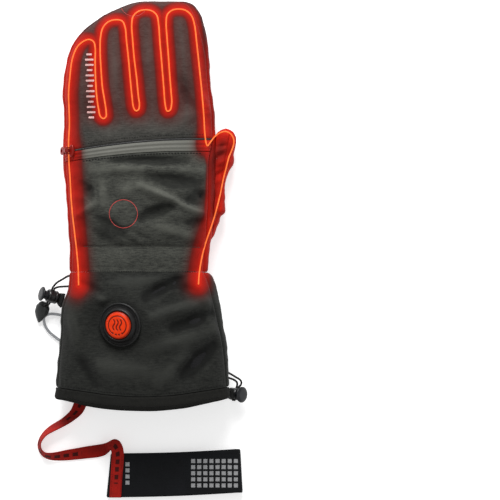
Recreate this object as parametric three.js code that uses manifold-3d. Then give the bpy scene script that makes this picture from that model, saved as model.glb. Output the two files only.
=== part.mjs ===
// Heated mitten glove, left hand, lying palm down. Millimetres, +Z up, fingers towards +Y.
// The soft walls are lofted from the section tables below; hard pieces are turned or extruded solids.
import * as THREE from 'three';
import { mergeVertices } from 'three/addons/utils/BufferGeometryUtils.js';
import Module from 'manifold-3d';

const wasm = await Module();
wasm.setup();
const V = (x, y, z) => new THREE.Vector3(x, y, z);

// ------------------------------------------------------------------ driving dimensions
const ORIGIN = [-4.741, 7.5, 0];     // moves the box's bottom centre to 0,0,0
const WALL_HAND = 4.2;              // padded hand wall
const WALL_CUFF = 3.6;              // padded cuff wall
const WALL_HEM = 4.4;               // turned hem
const WALL_THUMB = 3.4;
const SEAM = 0.4, SEAM_T = 0.012;   // gap between sewn panels, mm and radians of the section
const N_TOP = 2.3, N_LOW = 3.0;     // roundness of the upper and lower half of a section
const FLAT = 1.2;                   // how far the underside is pressed flat
const WRIST_Y = -27.2;
const WIRE_D = 1.9;
const STRAP_T = 1.2;                // leash webbing, 10.5 wide
const BAND_T = 1.6, BAND_H = 9.0;   // elastic band: cloth thickness, height of the flat loop
const PRESS_LOCK = 2.5;             // stroke of the cord locks

// hand sections: y, left x, right x, top z, widest z, lowest z
const HAND = [
  [-30.0, -57.3, 60.6, 38.0, 18.0, 0], [-27.2, -57.3, 60.4, 38.0, 18.0, 0], [-18.7, -57.2, 60.4, 38.0, 18.0, 0],
  [-8.5, -56.9, 61.2, 39.0, 18.0, 0], [1.7, -57.8, 63.3, 41.0, 18.0, 0], [15.3, -58.6, 65.0, 44.0, 18.5, 0],
  [29.8, -59.5, 66.5, 46.0, 19.0, 0], [44.2, -60.5, 67.0, 47.0, 19.0, 0], [57.8, -62.0, 67.2, 47.0, 19.0, 0],
  [71.4, -62.7, 67.2, 46.5, 19.0, 0], [83.3, -62.6, 66.9, 45.5, 18.5, 0], [95.2, -62.0, 66.3, 44.5, 18.0, 0],
  [108.8, -62.0, 65.5, 43.5, 18.0, 0], [122.4, -63.4, 63.8, 42.5, 18.0, 0], [137.7, -62.2, 62.0, 41.0, 18.0, 0],
  [149.6, -60.4, 61.5, 40.0, 17.5, 0], [163.2, -56.1, 60.5, 38.0, 17.5, 0.2], [176.8, -46.8, 58.6, 36.0, 17.0, 0.8],
  [183.6, -39.1, 56.9, 34.5, 17.0, 1.8], [190.4, -28.9, 54.4, 32.0, 17.0, 3.4], [197.2, -15.3, 50.1, 28.0, 16.8, 6.6],
  [200.6, -6.8, 46.3, 25.0, 16.6, 9.4], [203.2, 5.1, 38.2, 20.5, 16.5, 13.2], [204.3, 12.0, 32.0, 16.5, 16.5, 16.5],
];
// cuff sections, same columns
const CUFF = [
  [-27.2, -57.2, 61.0, 38.0, 18.0, 0], [-34.0, -57.6, 65.0, 40.0, 18.5, 0], [-40.8, -58.2, 67.1, 42.0, 19.0, 0],
  [-51.0, -61.8, 69.4, 44.0, 19.5, 0], [-58.0, -63.9, 70.8, 44.8, 19.8, 0], [-68.0, -64.7, 72.4, 45.5, 20.0, 0],
  [-85.0, -65.4, 75.6, 46.5, 20.0, 0], [-102.0, -67.2, 77.3, 47.0, 20.0, 0], [-119.0, -68.5, 78.2, 47.0, 20.0, 0],
  [-129.2, -69.3, 78.5, 46.5, 20.0, 0],
  [-139.4, -69.4, 78.4, 46.0, 20.0, 0], [-147.0, -69.2, 78.2, 45.5, 20.0, 0],
];
// thumb sections: y, centre x, half width, centre z, half height
const THUMB = [
  [-10.0, 47.0, 10.0, 13.5, 11.0], [2.0, 52.3, 12.0, 13.5, 12.3], [12.0, 56.0, 12.8, 13.5, 12.8],
  [20.0, 58.0, 13.0, 13.5, 13.0], [24.5, 60.8, 13.9, 13.5, 13.0], [39.4, 61.0, 13.6, 13.5, 13.0],
  [51.0, 62.0, 13.6, 13.5, 13.0], [58.0, 64.3, 13.4, 13.4, 13.0], [66.0, 68.7, 13.4, 13.2, 12.8],
  [71.4, 69.3, 12.6, 13.2, 12.6], [78.0, 72.3, 11.3, 13.5, 12.2], [84.0, 74.2, 10.2, 14.0, 11.5],
  [88.0, 75.0, 8.9, 14.5, 10.2], [91.5, 75.4, 6.6, 15.0, 7.6], [93.9, 75.5, 3.3, 15.0, 4.0], [95.0, 75.5, 0.0, 15.0, 0.0],
];
// side seams of the back panels: y, angle above the widest line in degrees, right and left
const SEAM_SIDE = [
  [-145, 14, 12], [-132, 14, 12], [-68, 20, 12], [-34, 24, 12], [-20, 20, 12], [20, 25, 12], [45, 26, 12], [58, 26, 12],
  [68, 25, 12], [80, 19, 12], [92, 14, 12], [110, 13, 12], [153, 15, 12], [166, 20, 12], [187, 28, 14], [204.3, 30, 16],
];
// lines across the back: x, y
const ZIP_TOP = [[-66, 74.0], [-49.3, 76.9], [-22.9, 80.8], [2.5, 83.7], [28.1, 85.4], [50, 85.9], [68, 85.9]];
const ZIP_LOW = [[-66, 65.6], [-46.8, 68.0], [-22.9, 71.0], [2.5, 73.4], [28.1, 74.8], [50, 75.0], [68, 75.0]];
const HEM_SEAM = [[-70, -124.8], [-44.2, -128.3], [-21.2, -131.3], [2.5, -132.6], [26.3, -131.8], [53.5, -128.3], [79, -124.6]];
const HEM_LOW = [[-70, -135.0], [-56.9, -137.6], [-44.2, -140.7], [-28.1, -143.1], [-10.2, -144.5], [11.0, -145.0],
  [39.9, -142.8], [57.8, -139.4], [73.1, -136.0], [79, -134.3]];
// main folds of the upper face: x0, y0, x1, y1, half width, height (negative is a dent)
const FOLDS = [
  [-50, -7, 52, -6, 5.5, -1.7], [-46, -25, 50, -25, 6, -1.4], [12, 36, 52, 16, 8, 2.0], [-44, 43, -6, 30, 7, -1.2],
  [-40, 62, 30, 60, 6, 1.2], [36, 134, 58, 122, 6, -1.5], [40, 118, 60, 100, 6, 1.4], [66, -52, 44, -88, 6, 1.8],
  [36, -36, 58, -62, 6, -1.8], [-52, -50, -38, -100, 8, 1.3], [12, -96, 48, -116, 8, -1.4], [-30, 8, 20, 4, 7, 1.1],
];
// heat button: centre on the upper face, tilt to the left and to the wrist opening
const BUTTON = { x: -13.1, y: -71.6, tiltX: 22, tiltY: 6, flat: 21, fade: 43, z: 44.6 };
const BN = V(-Math.sin(BUTTON.tiltX * Math.PI / 180), -Math.sin(BUTTON.tiltY * Math.PI / 180), 1);
BN.z = Math.sqrt(1 - BN.x * BN.x - BN.y * BN.y);

// drawcord locks: foot of the barrel, its axis, direction of the cords through it, sizes
const LOCK_W = { base: V(-68.2, -49.2, 9.6), axis: V(-0.885, 0.24, 0.4), cross: V(-0.66, -0.75, 0), r: 5.6, len: 9.4, head: 6.3, all: 16.0 };
const LOCK_H = { base: V(79.2, -130.8, 5.6), axis: V(0.75, -0.06, 0.66), cross: V(-0.5, -0.86, 0), r: 5.2, len: 9.2, head: 6.9, all: 14.6 };
const SLOT = [3.9, 8.0];
const lockPoint = (L, s, k) => {
  const dir = L.axis.clone().normalize(), c = L.cross.clone().addScaledVector(dir, -L.cross.dot(dir)).normalize();
  return L.base.clone().addScaledVector(dir, s).addScaledVector(c, k);
};
// drawcords: they leave the cuff by an eyelet, run to the lock and through it
const CORD_D = 1.7;
const CORDS = [
  { name: 'wrist_cord_a', points: [V(-49.8, -29.6, 19.6), V(-54.0, -29.9, 19.9), V(-58.4, -30.6, 19.9), V(-63.4, -33.4, 18.6), V(-68.6, -36.6, 16.2),
    lockPoint(LOCK_W, 6.95, -7.4), lockPoint(LOCK_W, 6.95, -3), lockPoint(LOCK_W, 6.95, 2), lockPoint(LOCK_W, 6.95, 6.2), V(-79.6, -55.8, 9.0), V(-80.9, -58.6, 6.8)] },
  { name: 'wrist_cord_b', points: [V(-50.2, -38.4, 17.6), V(-54.4, -38.9, 17.7), V(-58.9, -39.4, 17.6), V(-63.0, -39.6, 16.8), V(-67.0, -40.0, 15.0),
    lockPoint(LOCK_W, 4.95, -7.2), lockPoint(LOCK_W, 4.95, -3), lockPoint(LOCK_W, 4.95, 2), lockPoint(LOCK_W, 4.95, 6.2), V(-77.2, -56.6, 8.6), V(-78.5, -59.4, 6.4)] },
  { name: 'hem_cord_a', points: [V(70.0, -110.4, 18.2), V(74.0, -111.6, 17.9), V(78.4, -113.3, 17.2), V(83.6, -116.4, 15.4), V(88.0, -119.4, 12.6),
    V(88.6, -122.6, 9.9), lockPoint(LOCK_H, 6.95, -5.6), lockPoint(LOCK_H, 6.95, -2), lockPoint(LOCK_H, 6.95, 2), lockPoint(LOCK_H, 6.95, 5.8)] },
  { name: 'hem_cord_b', points: [V(70.2, -114.6, 14.6), V(74.2, -116.0, 14.2), V(78.2, -117.4, 13.4), V(82.0, -118.8, 11.6), V(84.8, -121.0, 9.4),
    lockPoint(LOCK_H, 4.95, -8.2), lockPoint(LOCK_H, 4.95, -4.4), lockPoint(LOCK_H, 4.95, 0.5), lockPoint(LOCK_H, 4.95, 5.8)] },
];
// webbing tabs from the cuff's side to the locks: left edge x y z, right edge x y z
const WRIST_TAB = [[-61.2, -45.6, 17.0, -65.0, -57.6, 16.6], [-63.6, -45.4, 13.6, -66.8, -56.0, 13.2], [-66.0, -45.3, 9.6, -68.2, -54.0, 9.2]];
const HEM_TAB = [[79.9, -126.4, 19.8, 79.9, -135.0, 19.8], [80.8, -126.6, 17.6, 80.8, -135.0, 17.6], [81.7, -126.8, 16.2, 81.7, -135.0, 16.2]];
// flat leash, from inside the cuff over its edge, round a bend on its edge, folded over onto the band
const PX = (x, y) => [(x - 137) * 0.85, (240 - y) * 0.85];
const LEASH = [
  [79.6, 386.0, 7.9, 91.9, 388.5, 6.6], [76.4, 395.6, 8.2, 88.8, 398.2, 6.8], [73.4, 403.2, 8.0, 86.0, 405.8, 6.8], [69.8, 410.8, 5.4, 81.4, 414.2, 6.0],
  [62.0, 418.5, 2.6, 71.3, 422.2, 7.6], [55.4, 422.9, 1.0, 62.4, 427.2, 9.2], [49.4, 426.6, 0.8, 54.0, 431.4, 10.0], [43.4, 431.9, 0.7, 46.7, 435.4, 10.2],
  [38.9, 438.5, 0.7, 42.1, 440.3, 10.4], [37.1, 445.2, 0.7, 40.2, 445.0, 10.5], [38.5, 451.9, 0.7, 41.4, 450.2, 10.4], [42.3, 457.3, 0.7, 45.0, 453.0, 9.9],
  [48.8, 460.4, 0.8, 50.4, 453.4, 9.0], [57.0, 461.3, 0.9, 57.2, 452.4, 7.4], [66.0, 461.1, 1.0, 65.6, 450.6, 5.4], [76.0, 460.3, 1.0, 75.0, 449.0, 3.8],
  [88.0, 459.1, 1.0, 86.6, 446.9, 2.6], [99.0, 457.7, 1.1, 97.4, 445.3, 2.4], [104.8, 455.7, 1.6, 103.0, 444.2, 3.8], [108.3, 452.9, 3.2, 107.3, 442.6, 7.2],
  [110.0, 451.0, 5.9, 111.0, 440.4, 10.4], [110.7, 450.6, 8.6, 115.0, 439.3, 12.4], [111.0, 451.6, 10.4, 119.2, 441.2, 13.0], [111.2, 453.4, 11.1, 122.2, 446.0, 12.2],
  [111.3, 456.6, 10.7, 123.7, 453.4, 11.2], [111.1, 462.0, 10.1, 123.5, 461.4, 10.2], [110.4, 475.0, 10.05, 122.2, 475.0, 10.05], [109.0, 498.1, 10.05, 120.8, 498.1, 10.05],
].map(([a, b, c, d, e, f]) => [...PX(a, b), c, ...PX(d, e), f]);
// cord end: top, tip, rows of share along it, half width, depth below and above the centre line
const CORD_END = { top: [-79.0, -52.6, 7.6], tip: [-84.2, -70.2, 3.0],
  rows: [[0, 2.6, 1.6, 1.6], [0.12, 4.6, 2.4, 2.6], [0.3, 5.9, 3.0, 3.4], [0.5, 5.9, 3.0, 3.3], [0.7, 4.5, 2.6, 2.6], [0.88, 2.3, 1.9, 1.6], [1, 0.6, 0.6, 0.5]] };
const LOOP_D = 2.5;
const LOOP = [[-66.0, -63.9, 1.9], [-71.0, -63.1, 2.3], [-76.0, -63.3, 3.6], [-79.4, -65.6, 4.0], [-79.6, -69.4, 3.0], [-78.6, -73.4, 2.0], [-75.4, -78.2, 1.7],
  [-70.6, -82.4, 1.6], [-65.6, -85.8, 1.6], [-61.6, -86.2, 1.6], [-59.0, -82.4, 1.6], [-58.2, -75.6, 1.6], [-59.2, -68.8, 1.6], [-62.0, -65.2, 1.7]];
const BAND = { top: [[-22.9, -181.9], [88.1, -178.3]], low: [[-26.8, -219.3], [90.0, -215.3]], bow: 0.9 };

// ------------------------------------------------------------------ section maths
const clamp = (v, a, b) => Math.min(b, Math.max(a, v));
const smooth = (a, b, v) => { const s = clamp((v - a) / (b - a), 0, 1); return s * s * (3 - 2 * s); };
// smooth table lookup, first column ascending, no overshoot
function lookup(table, key, col) {
  const n = table.length;
  if (key <= table[0][0]) return table[0][col];
  if (key >= table[n - 1][0]) return table[n - 1][col];
  let i = 0;
  while (key > table[i + 1][0]) i++;
  const slope = (a, b) => (table[b][col] - table[a][col]) / (table[b][0] - table[a][0]);
  const tangent = (k) => {
    if (k === 0) return slope(0, 1);
    if (k === n - 1) return slope(n - 2, n - 1);
    const a = slope(k - 1, k), b = slope(k, k + 1);
    return a * b <= 0 ? 0 : 2 * a * b / (a + b);
  };
  const h = table[i + 1][0] - table[i][0], s = (key - table[i][0]) / h;
  return (2 * s ** 3 - 3 * s ** 2 + 1) * table[i][col] + (s ** 3 - 2 * s ** 2 + s) * h * tangent(i)
    + (-2 * s ** 3 + 3 * s ** 2) * table[i + 1][col] + (s ** 3 - s ** 2) * h * tangent(i + 1);
}
const ascending = (t) => [...t].sort((a, b) => a[0] - b[0]);
const HAND_A = ascending(HAND), CUFF_A = ascending(CUFF);
const across = (line, x) => lookup(line, x, 1);

function foldHeight(x, y) {
  let z = 0;
  for (const [x0, y0, x1, y1, w, h] of FOLDS) {
    const dx = x1 - x0, dy = y1 - y0, L2 = dx * dx + dy * dy;
    const s = ((x - x0) * dx + (y - y0) * dy) / L2, q = clamp(s, 0, 1);
    const d = Math.hypot(x - x0 - q * dx, y - y0 - q * dy);
    if (d < 2.2 * w) z += h * Math.exp(-((d / w) ** 2)) * (1 - 0.5 * Math.abs(2 * q - 1));
  }
  return z;
}
// shapes the upper face: folds, and the flat that the button sits on. d is the inset from the outer face
function relief(x, y, z, d) {
  let out = z + foldHeight(x, y);
  const r = Math.hypot(x - BUTTON.x, y - BUTTON.y);
  if (r < BUTTON.fade) {
    const w = 1 - smooth(BUTTON.flat, BUTTON.fade, r);
    const reach = Math.min(1, BUTTON.flat / Math.max(r, 1e-6));               // beyond the flat the height stays
    const plane = BUTTON.z - d - reach * (BN.x * (x - BUTTON.x) + BN.y * (y - BUTTON.y)) / BN.z;
    out = out * (1 - w) + plane * w;
  }
  return out;
}
const pw = (v, e) => Math.sign(v) * Math.abs(v) ** e;
// point of a section ring: t = 0 right, 90 top, 180 left, 270 bottom
function ring(table, y, t, d, lift = 0) {
  const xl = lookup(table, y, 1), xr = lookup(table, y, 2), h = lookup(table, y, 3), ze = lookup(table, y, 4), zb = lookup(table, y, 5);
  const c = Math.cos(t), s = Math.sin(t), cx = (xl + xr) / 2, a = Math.max((xr - xl) / 2 - d, 0.5);
  if (s >= 0) {
    const x = cx + a * pw(c, 2 / N_TOP);
    const z = ze + Math.max(h - d - ze, 0) * Math.abs(s) ** (2 / N_TOP);
    const share = smooth(0.05, 0.5, s);
    return V(x, y, z + (relief(x, y, z, d) - z) * share + lift);
  }
  const x = cx + a * pw(c, 2 / N_LOW);
  const depth = Math.max(ze - zb - d, 0);
  return V(x, y, Math.max(ze - (depth + (depth > 0 ? FLAT : 0)) * Math.abs(s) ** (2 / N_LOW), zb + Math.min(d, ze - zb)));
}
const seamR = (y) => lookup(SEAM_SIDE, y, 1) * Math.PI / 180;
const seamL = (y) => Math.PI - lookup(SEAM_SIDE, y, 2) * Math.PI / 180;

// height of the finished upper face (hand, cuff and thumb), for the heating wire
function topZ(x, y) {
  const table = y > WRIST_Y ? HAND_A : CUFF_A;
  let best = -1;
  const xl = lookup(table, y, 1), xr = lookup(table, y, 2), cx = (xl + xr) / 2, u = Math.abs((x - cx) / ((xr - xl) / 2));
  if (u < 1) {
    const h = lookup(table, y, 3), ze = lookup(table, y, 4);
    const c = u ** (N_TOP / 2), s = Math.sqrt(1 - c * c), z = ze + (h - ze) * s ** (2 / N_TOP);
    best = z + (relief(x, y, z, 0) - z) * smooth(0.05, 0.5, s) + SEAM;
  }
  if (y > THUMB[0][0] && y < THUMB[THUMB.length - 1][0]) {
    const r = lookup(THUMB, y, 2), v = Math.abs((x - lookup(THUMB, y, 1)) / r);
    if (v < 1) best = Math.max(best, lookup(THUMB, y, 3) + lookup(THUMB, y, 4) * Math.sqrt(1 - v * v));
  }
  return best;
}

// ------------------------------------------------------------------ mesh helpers
function fromLists(points, faces) {
  let vol = 0;
  for (const [a, b, c] of faces) vol += points[a].dot(V(0, 0, 0).crossVectors(points[b], points[c]));
  const g = new THREE.BufferGeometry();
  g.setAttribute('position', new THREE.Float32BufferAttribute(points.flatMap((p) => [p.x, p.y, p.z]), 3));
  g.setIndex(faces.flatMap(([a, b, c]) => (vol < 0 ? [a, c, b] : [a, b, c])));
  return g;
}
// wall between an outer and an inner face; nv columns, closed round when wrap is true
function wall(nu, nv, outer, inner, wrap = false) {
  const points = [], faces = [], cols = wrap ? nv : nv + 1;
  for (const f of [outer, inner]) for (let i = 0; i <= nu; i++) for (let j = 0; j < cols; j++) points.push(f(i / nu, j / nv));
  const id = (k, i, j) => k * (nu + 1) * cols + i * cols + (wrap ? j % nv : j);
  const quad = (a, b, c, d) => faces.push([a, b, c], [a, c, d]);
  for (let i = 0; i < nu; i++) for (let j = 0; j < nv; j++) {
    quad(id(0, i, j), id(0, i, j + 1), id(0, i + 1, j + 1), id(0, i + 1, j));
    quad(id(1, i, j), id(1, i + 1, j), id(1, i + 1, j + 1), id(1, i, j + 1));
  }
  for (let j = 0; j < nv; j++) {
    quad(id(0, 0, j), id(1, 0, j), id(1, 0, j + 1), id(0, 0, j + 1));
    quad(id(0, nu, j), id(0, nu, j + 1), id(1, nu, j + 1), id(1, nu, j));
  }
  if (!wrap) for (let i = 0; i < nu; i++) {
    quad(id(0, i, 0), id(0, i + 1, 0), id(1, i + 1, 0), id(1, i, 0));
    quad(id(0, i, nv), id(1, i, nv), id(1, i + 1, nv), id(0, i + 1, nv));
  }
  return fromLists(points, faces);
}
// closed solid through rings of points; an end whose ring has no size closes to one point
function loft(rings) {
  const points = [], faces = [], n = rings[0].length, start = [];
  const tiny = (r) => r.every((p) => p.distanceTo(r[0]) < 1e-6);
  for (const r of rings) { start.push(points.length); points.push(...(tiny(r) ? [r[0]] : r)); }
  const at = (i, j) => start[i] + (tiny(rings[i]) ? 0 : j % n);
  for (let i = 0; i + 1 < rings.length; i++) for (let j = 0; j < n; j++) {
    const a = at(i, j), b = at(i, j + 1), c = at(i + 1, j + 1), d = at(i + 1, j);
    if (a !== b) faces.push([a, b, c]);
    if (c !== d) faces.push([a, c, d]);
  }
  for (const [i, flip] of [[0, true], [rings.length - 1, false]]) {
    if (tiny(rings[i])) continue;
    const mid = points.length;
    points.push(rings[i].reduce((s, p) => s.add(p), V(0, 0, 0)).divideScalar(n));
    for (let j = 0; j < n; j++) faces.push(flip ? [mid, at(i, j + 1), at(i, j)] : [mid, at(i, j), at(i, j + 1)]);
  }
  return fromLists(points, faces);
}
const bare = (g) => { const c = g.clone(); c.deleteAttribute('normal'); c.deleteAttribute('uv'); return mergeVertices(c, 1e-4); };
const solid = (g) => {
  const m = bare(g);
  return new wasm.Manifold(new wasm.Mesh({ numProp: 3, vertProperties: new Float32Array(m.attributes.position.array), triVerts: new Uint32Array(m.index.array) }));
};
// largest connected piece of a boolean result, back as geometry
function geometry(man) {
  const bits = man.decompose().sort((a, b) => b.volume() - a.volume());
  const mesh = bits[0].getMesh();
  const g = new THREE.BufferGeometry();
  g.setAttribute('position', new THREE.Float32BufferAttribute(mesh.vertProperties, 3));
  g.setIndex([...mesh.triVerts]);
  return g;
}
const moved = (g, pos, dir = null) => {
  const q = new THREE.Quaternion();
  if (dir) q.setFromUnitVectors(V(0, 0, 1), dir.clone().normalize());
  return g.clone().applyMatrix4(new THREE.Matrix4().compose(pos, q, V(1, 1, 1)));
};
// turned solid: profile rows are radius, height along +Z
const turned = (profile, seg = 32) => new THREE.LatheGeometry(profile.map(([r, z]) => new THREE.Vector2(r, z)), seg).rotateX(Math.PI / 2);
// tube of a few sides along points, ends closed
function tube(points, dia, sides = 8, closed = false, steps = null) {
  const curve = new THREE.CatmullRomCurve3(points, closed, 'centripetal');
  const shape = new THREE.Shape();
  for (let i = 0; i <= sides; i++) {
    const a = (i / sides) * 2 * Math.PI;
    if (i === 0) shape.moveTo(dia / 2, 0); else if (i < sides) shape.lineTo(Math.cos(a) * dia / 2, Math.sin(a) * dia / 2);
  }
  shape.closePath();
  return new THREE.ExtrudeGeometry(shape, { steps: steps ?? points.length * 2, bevelEnabled: false, extrudePath: curve });
}
const roundedBox = (x, y, z, r, seg = 3) => {
  const s = new THREE.Shape();
  const a = x / 2 - r, b = y / 2 - r;
  s.absarc(a, b, r, 0, Math.PI / 2); s.absarc(-a, b, r, Math.PI / 2, Math.PI);
  s.absarc(-a, -b, r, Math.PI, 1.5 * Math.PI); s.absarc(a, -b, r, 1.5 * Math.PI, 2 * Math.PI);
  return new THREE.ExtrudeGeometry(s, { depth: z, bevelEnabled: false, curveSegments: seg }).translate(0, 0, -z / 2);
};

const glove = new THREE.Group();
function piece(name, geo, color, roughness, metalness = 0) {
  const g = bare(geo).toNonIndexed();
  g.computeVertexNormals();
  const mesh = new THREE.Mesh(g, new THREE.MeshStandardMaterial({ color, roughness, metalness }));
  mesh.name = name;
  glove.add(mesh);
  return mesh;
}

// ------------------------------------------------------------------ thumb and the cutters it needs
const THUMB_SIDES = 16;
const thumbRing = (y, inset, n = THUMB_SIDES) => {
  const cx = lookup(THUMB, y, 1), rx = Math.max(lookup(THUMB, y, 2) - inset, 0), cz = lookup(THUMB, y, 3), rz = Math.max(lookup(THUMB, y, 4) - inset, 0);
  return Array.from({ length: n }, (_, j) => {
    const t = (j / n) * 2 * Math.PI;
    return V(cx + rx * Math.cos(t), y, Math.max(cz + rz * Math.sin(t), 0.6 + inset));
  });
};
const thumbRows = [-8, 6, 17, 24.5, 38, 50, 58, 66, 73, 80, 86, 90.5, 93.4];
const thumbOuter = solid(loft([...thumbRows.map((y) => thumbRing(y, 0)), [V(75.5, 95, 15)]].map((r) => (r.length === 1 ? Array(THUMB_SIDES).fill(r[0]) : r))));
const innerRows = thumbRows.filter((y) => y > 1 && y < 89);
const thumbInner = solid(loft([...innerRows.map((y) => thumbRing(y, WALL_THUMB)), Array(THUMB_SIDES).fill(V(75.2, 91.4, 15))]));
const handRing = (y, d, n = 36) => Array.from({ length: n }, (_, j) => ring(HAND_A, y, (j / n) * 2 * Math.PI, d));
const handBody = solid(loft([-29, -14, 0, 14, 28, 42, 56, 70, 80, 90, 102].map((y) => handRing(y, -0.45))));
const lowCut = solid(moved(new THREE.BoxGeometry(60, 120, 80), V(70, 70 - 60, 20)));      // y below 70
const opening = thumbInner.intersect(lowCut);

// ------------------------------------------------------------------ sewn panels
// upper panel between two curves across the back; both borders are read at the x of one probe section
function backPoint(table, probeY, low, high, u, v, d) {
  const x = ring(table, probeY, seamL(probeY) + (seamR(probeY) - seamL(probeY)) * v, 0).x;
  const y = low(x) + (high(x) - low(x)) * u;
  return ring(table, y, seamL(y) + (seamR(y) - seamL(y)) * v, d, SEAM);
}
const backPanel = (table, probeY, nu, nv, low, high, wallT) =>
  wall(nu, nv, (u, v) => backPoint(table, probeY, low, high, u, v, 0), (u, v) => backPoint(table, probeY, low, high, u, v, wallT));
const ease = (u) => 1 - (1 - u) ** 1.35;
// hood: from the zip to the finger end, closing to a line there
{
  const point = (u, v, d) => {
    const p = backPoint(HAND_A, 79, (x) => across(ZIP_TOP, x) + 0.9, () => 204.3 - d, ease(u), v, d);
    if (u === 1) p.z = 16.5 + SEAM;
    return p;
  };
  const g = wall(14, 16, (u, v) => point(u, v, 0), (u, v) => point(u, v, WALL_HAND));
  piece('hood_back', geometry(solid(g).subtract(opening)), 0x41403e, 0.82);
}
const gloveBack = (name, nu, low, high, wallT, color, rough) =>
  piece(name, geometry(solid(backPanel(HAND_A, 79, nu, 16, low, high, wallT)).subtract(opening)), color, rough);
gloveBack('hand_back', 11, () => WRIST_Y, (x) => across(ZIP_LOW, x) - 0.25, WALL_HAND, 0x494944, 0.85);
gloveBack('zip_tape', 1, (x) => across(ZIP_LOW, x) + 0.25, (x) => across(ZIP_TOP, x) - 1.75, WALL_HAND - 1.2, 0x8c8d86, 0.55);
gloveBack('zip_coil', 1, (x) => across(ZIP_TOP, x) - 1.35, (x) => across(ZIP_TOP, x) + 0.5, WALL_HAND - 1.0, 0x161616, 0.45);
// lower panel of a section, from seam to seam round the underside
const underPoint = (table, y, v, d) => {
  const wide = 0.028 * Math.exp(-(((y - 82) / 16) ** 2)) + 0.06 * smooth(192, 203, y);   // where the seam turns quickly
  const t0 = seamL(y) + SEAM_T, t1 = 2 * Math.PI + seamR(y) - SEAM_T - wide;
  return ring(table, y, t0 + (t1 - t0) * v, d);
};
{
  const point = (u, v, d) => {
    const y = WRIST_Y + (204.3 - d - WRIST_Y) * ease(u), p = underPoint(HAND_A, y, v, d);
    if (u < 1) return p;
    p.x = ring(HAND_A, y, seamL(y) + (seamR(y) - seamL(y)) * v, d).x;      // the end closes along the hood's end line
    return p.setZ(16.5);
  };
  const g = wall(19, 16, (u, v) => point(u, v, 0), (u, v) => point(u, v, WALL_HAND));
  piece('palm', geometry(solid(g).subtract(opening)), 0x2a2827, 0.7);
}
piece('thumb', geometry(thumbOuter.subtract(thumbInner).subtract(handBody)), 0x4a2a26, 0.62);

// ------------------------------------------------------------------ heat button
const onButton = (g) => moved(g, V(BUTTON.x, BUTTON.y, BUTTON.z + SEAM), BN);
// cuff: upper panel with the button's hole, lower panel with the drawcord eyelets, hem ring
const HEM_Y = -130;
const cordHole = (points, dia) => solid(tube(points, dia + 1.1, 6, false, points.length - 1));
{
  const g = backPanel(CUFF_A, HEM_Y, 11, 16, (x) => across(HEM_SEAM, x) + 0.25, () => WRIST_Y - 0.45, WALL_CUFF);
  const hole = solid(onButton(new THREE.CylinderGeometry(10.7, 10.7, 24, 24).rotateX(Math.PI / 2)));
  piece('cuff_back', geometry(solid(g).subtract(hole)), 0x2f302d, 0.85);
}
{
  const point = (u, v, d) => {
    const x = underPoint(CUFF_A, HEM_Y, v, 0).x, low = across(HEM_SEAM, x) + 0.25;
    return underPoint(CUFF_A, low + (WRIST_Y - 0.45 - low) * u, v, d);
  };
  let g = solid(wall(9, 14, (u, v) => point(u, v, 0), (u, v) => point(u, v, WALL_CUFF)));
  for (const c of CORDS) g = g.subtract(cordHole(c.points.slice(0, 3), CORD_D));
  piece('cuff_under', geometry(g), 0x242423, 0.85);
}
{
  const point = (u, v, d) => {
    const t = v * 2 * Math.PI, x = ring(CUFF_A, HEM_Y, t, 0).x;
    const y = across(HEM_LOW, x) + (across(HEM_SEAM, x) - 0.25 - across(HEM_LOW, x)) * u;
    const round = u === 0 ? 0.9 : 0;
    const p = ring(CUFF_A, y, t, d === 0 ? round - 0.4 : d - round);
    if (t < Math.PI) p.z += SEAM;
    p.z = Math.max(p.z, 0);
    return p;
  };
  piece('cuff_hem', wall(2, 36, (u, v) => point(u, v, 0), (u, v) => point(u, v, WALL_HEM), true), 0x1f1f1f, 0.8);
}
// flange below the cloth, stem through it, plate and rim above it
piece('button_base', onButton(turned([[0, -6.6], [14.5, -6.6], [14.5, -5.2], [10.2, -5.0], [10.2, 0.5], [17.6, 0.7], [18.9, 1.2],
  [18.9, 2.5], [18.2, 3.0], [17.4, 2.5], [0, 2.3]], 28)), 0x141414, 0.42);
piece('button_housing', onButton(turned([[0, 2.7], [15.2, 2.7], [15.2, 4.2], [13.9, 6.0], [12.7, 6.4], [12.0, 5.6], [12.0, 3.9], [0, 3.9]], 28)), 0x2b2b2b, 0.35);
piece('button_cap', onButton(turned([[0, 5.3], [11.6, 5.3], [11.6, 6.9], [10.9, 7.6], [7.5, 8.1], [0, 8.3]], 26)), 0xe23a08, 0.38);

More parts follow.
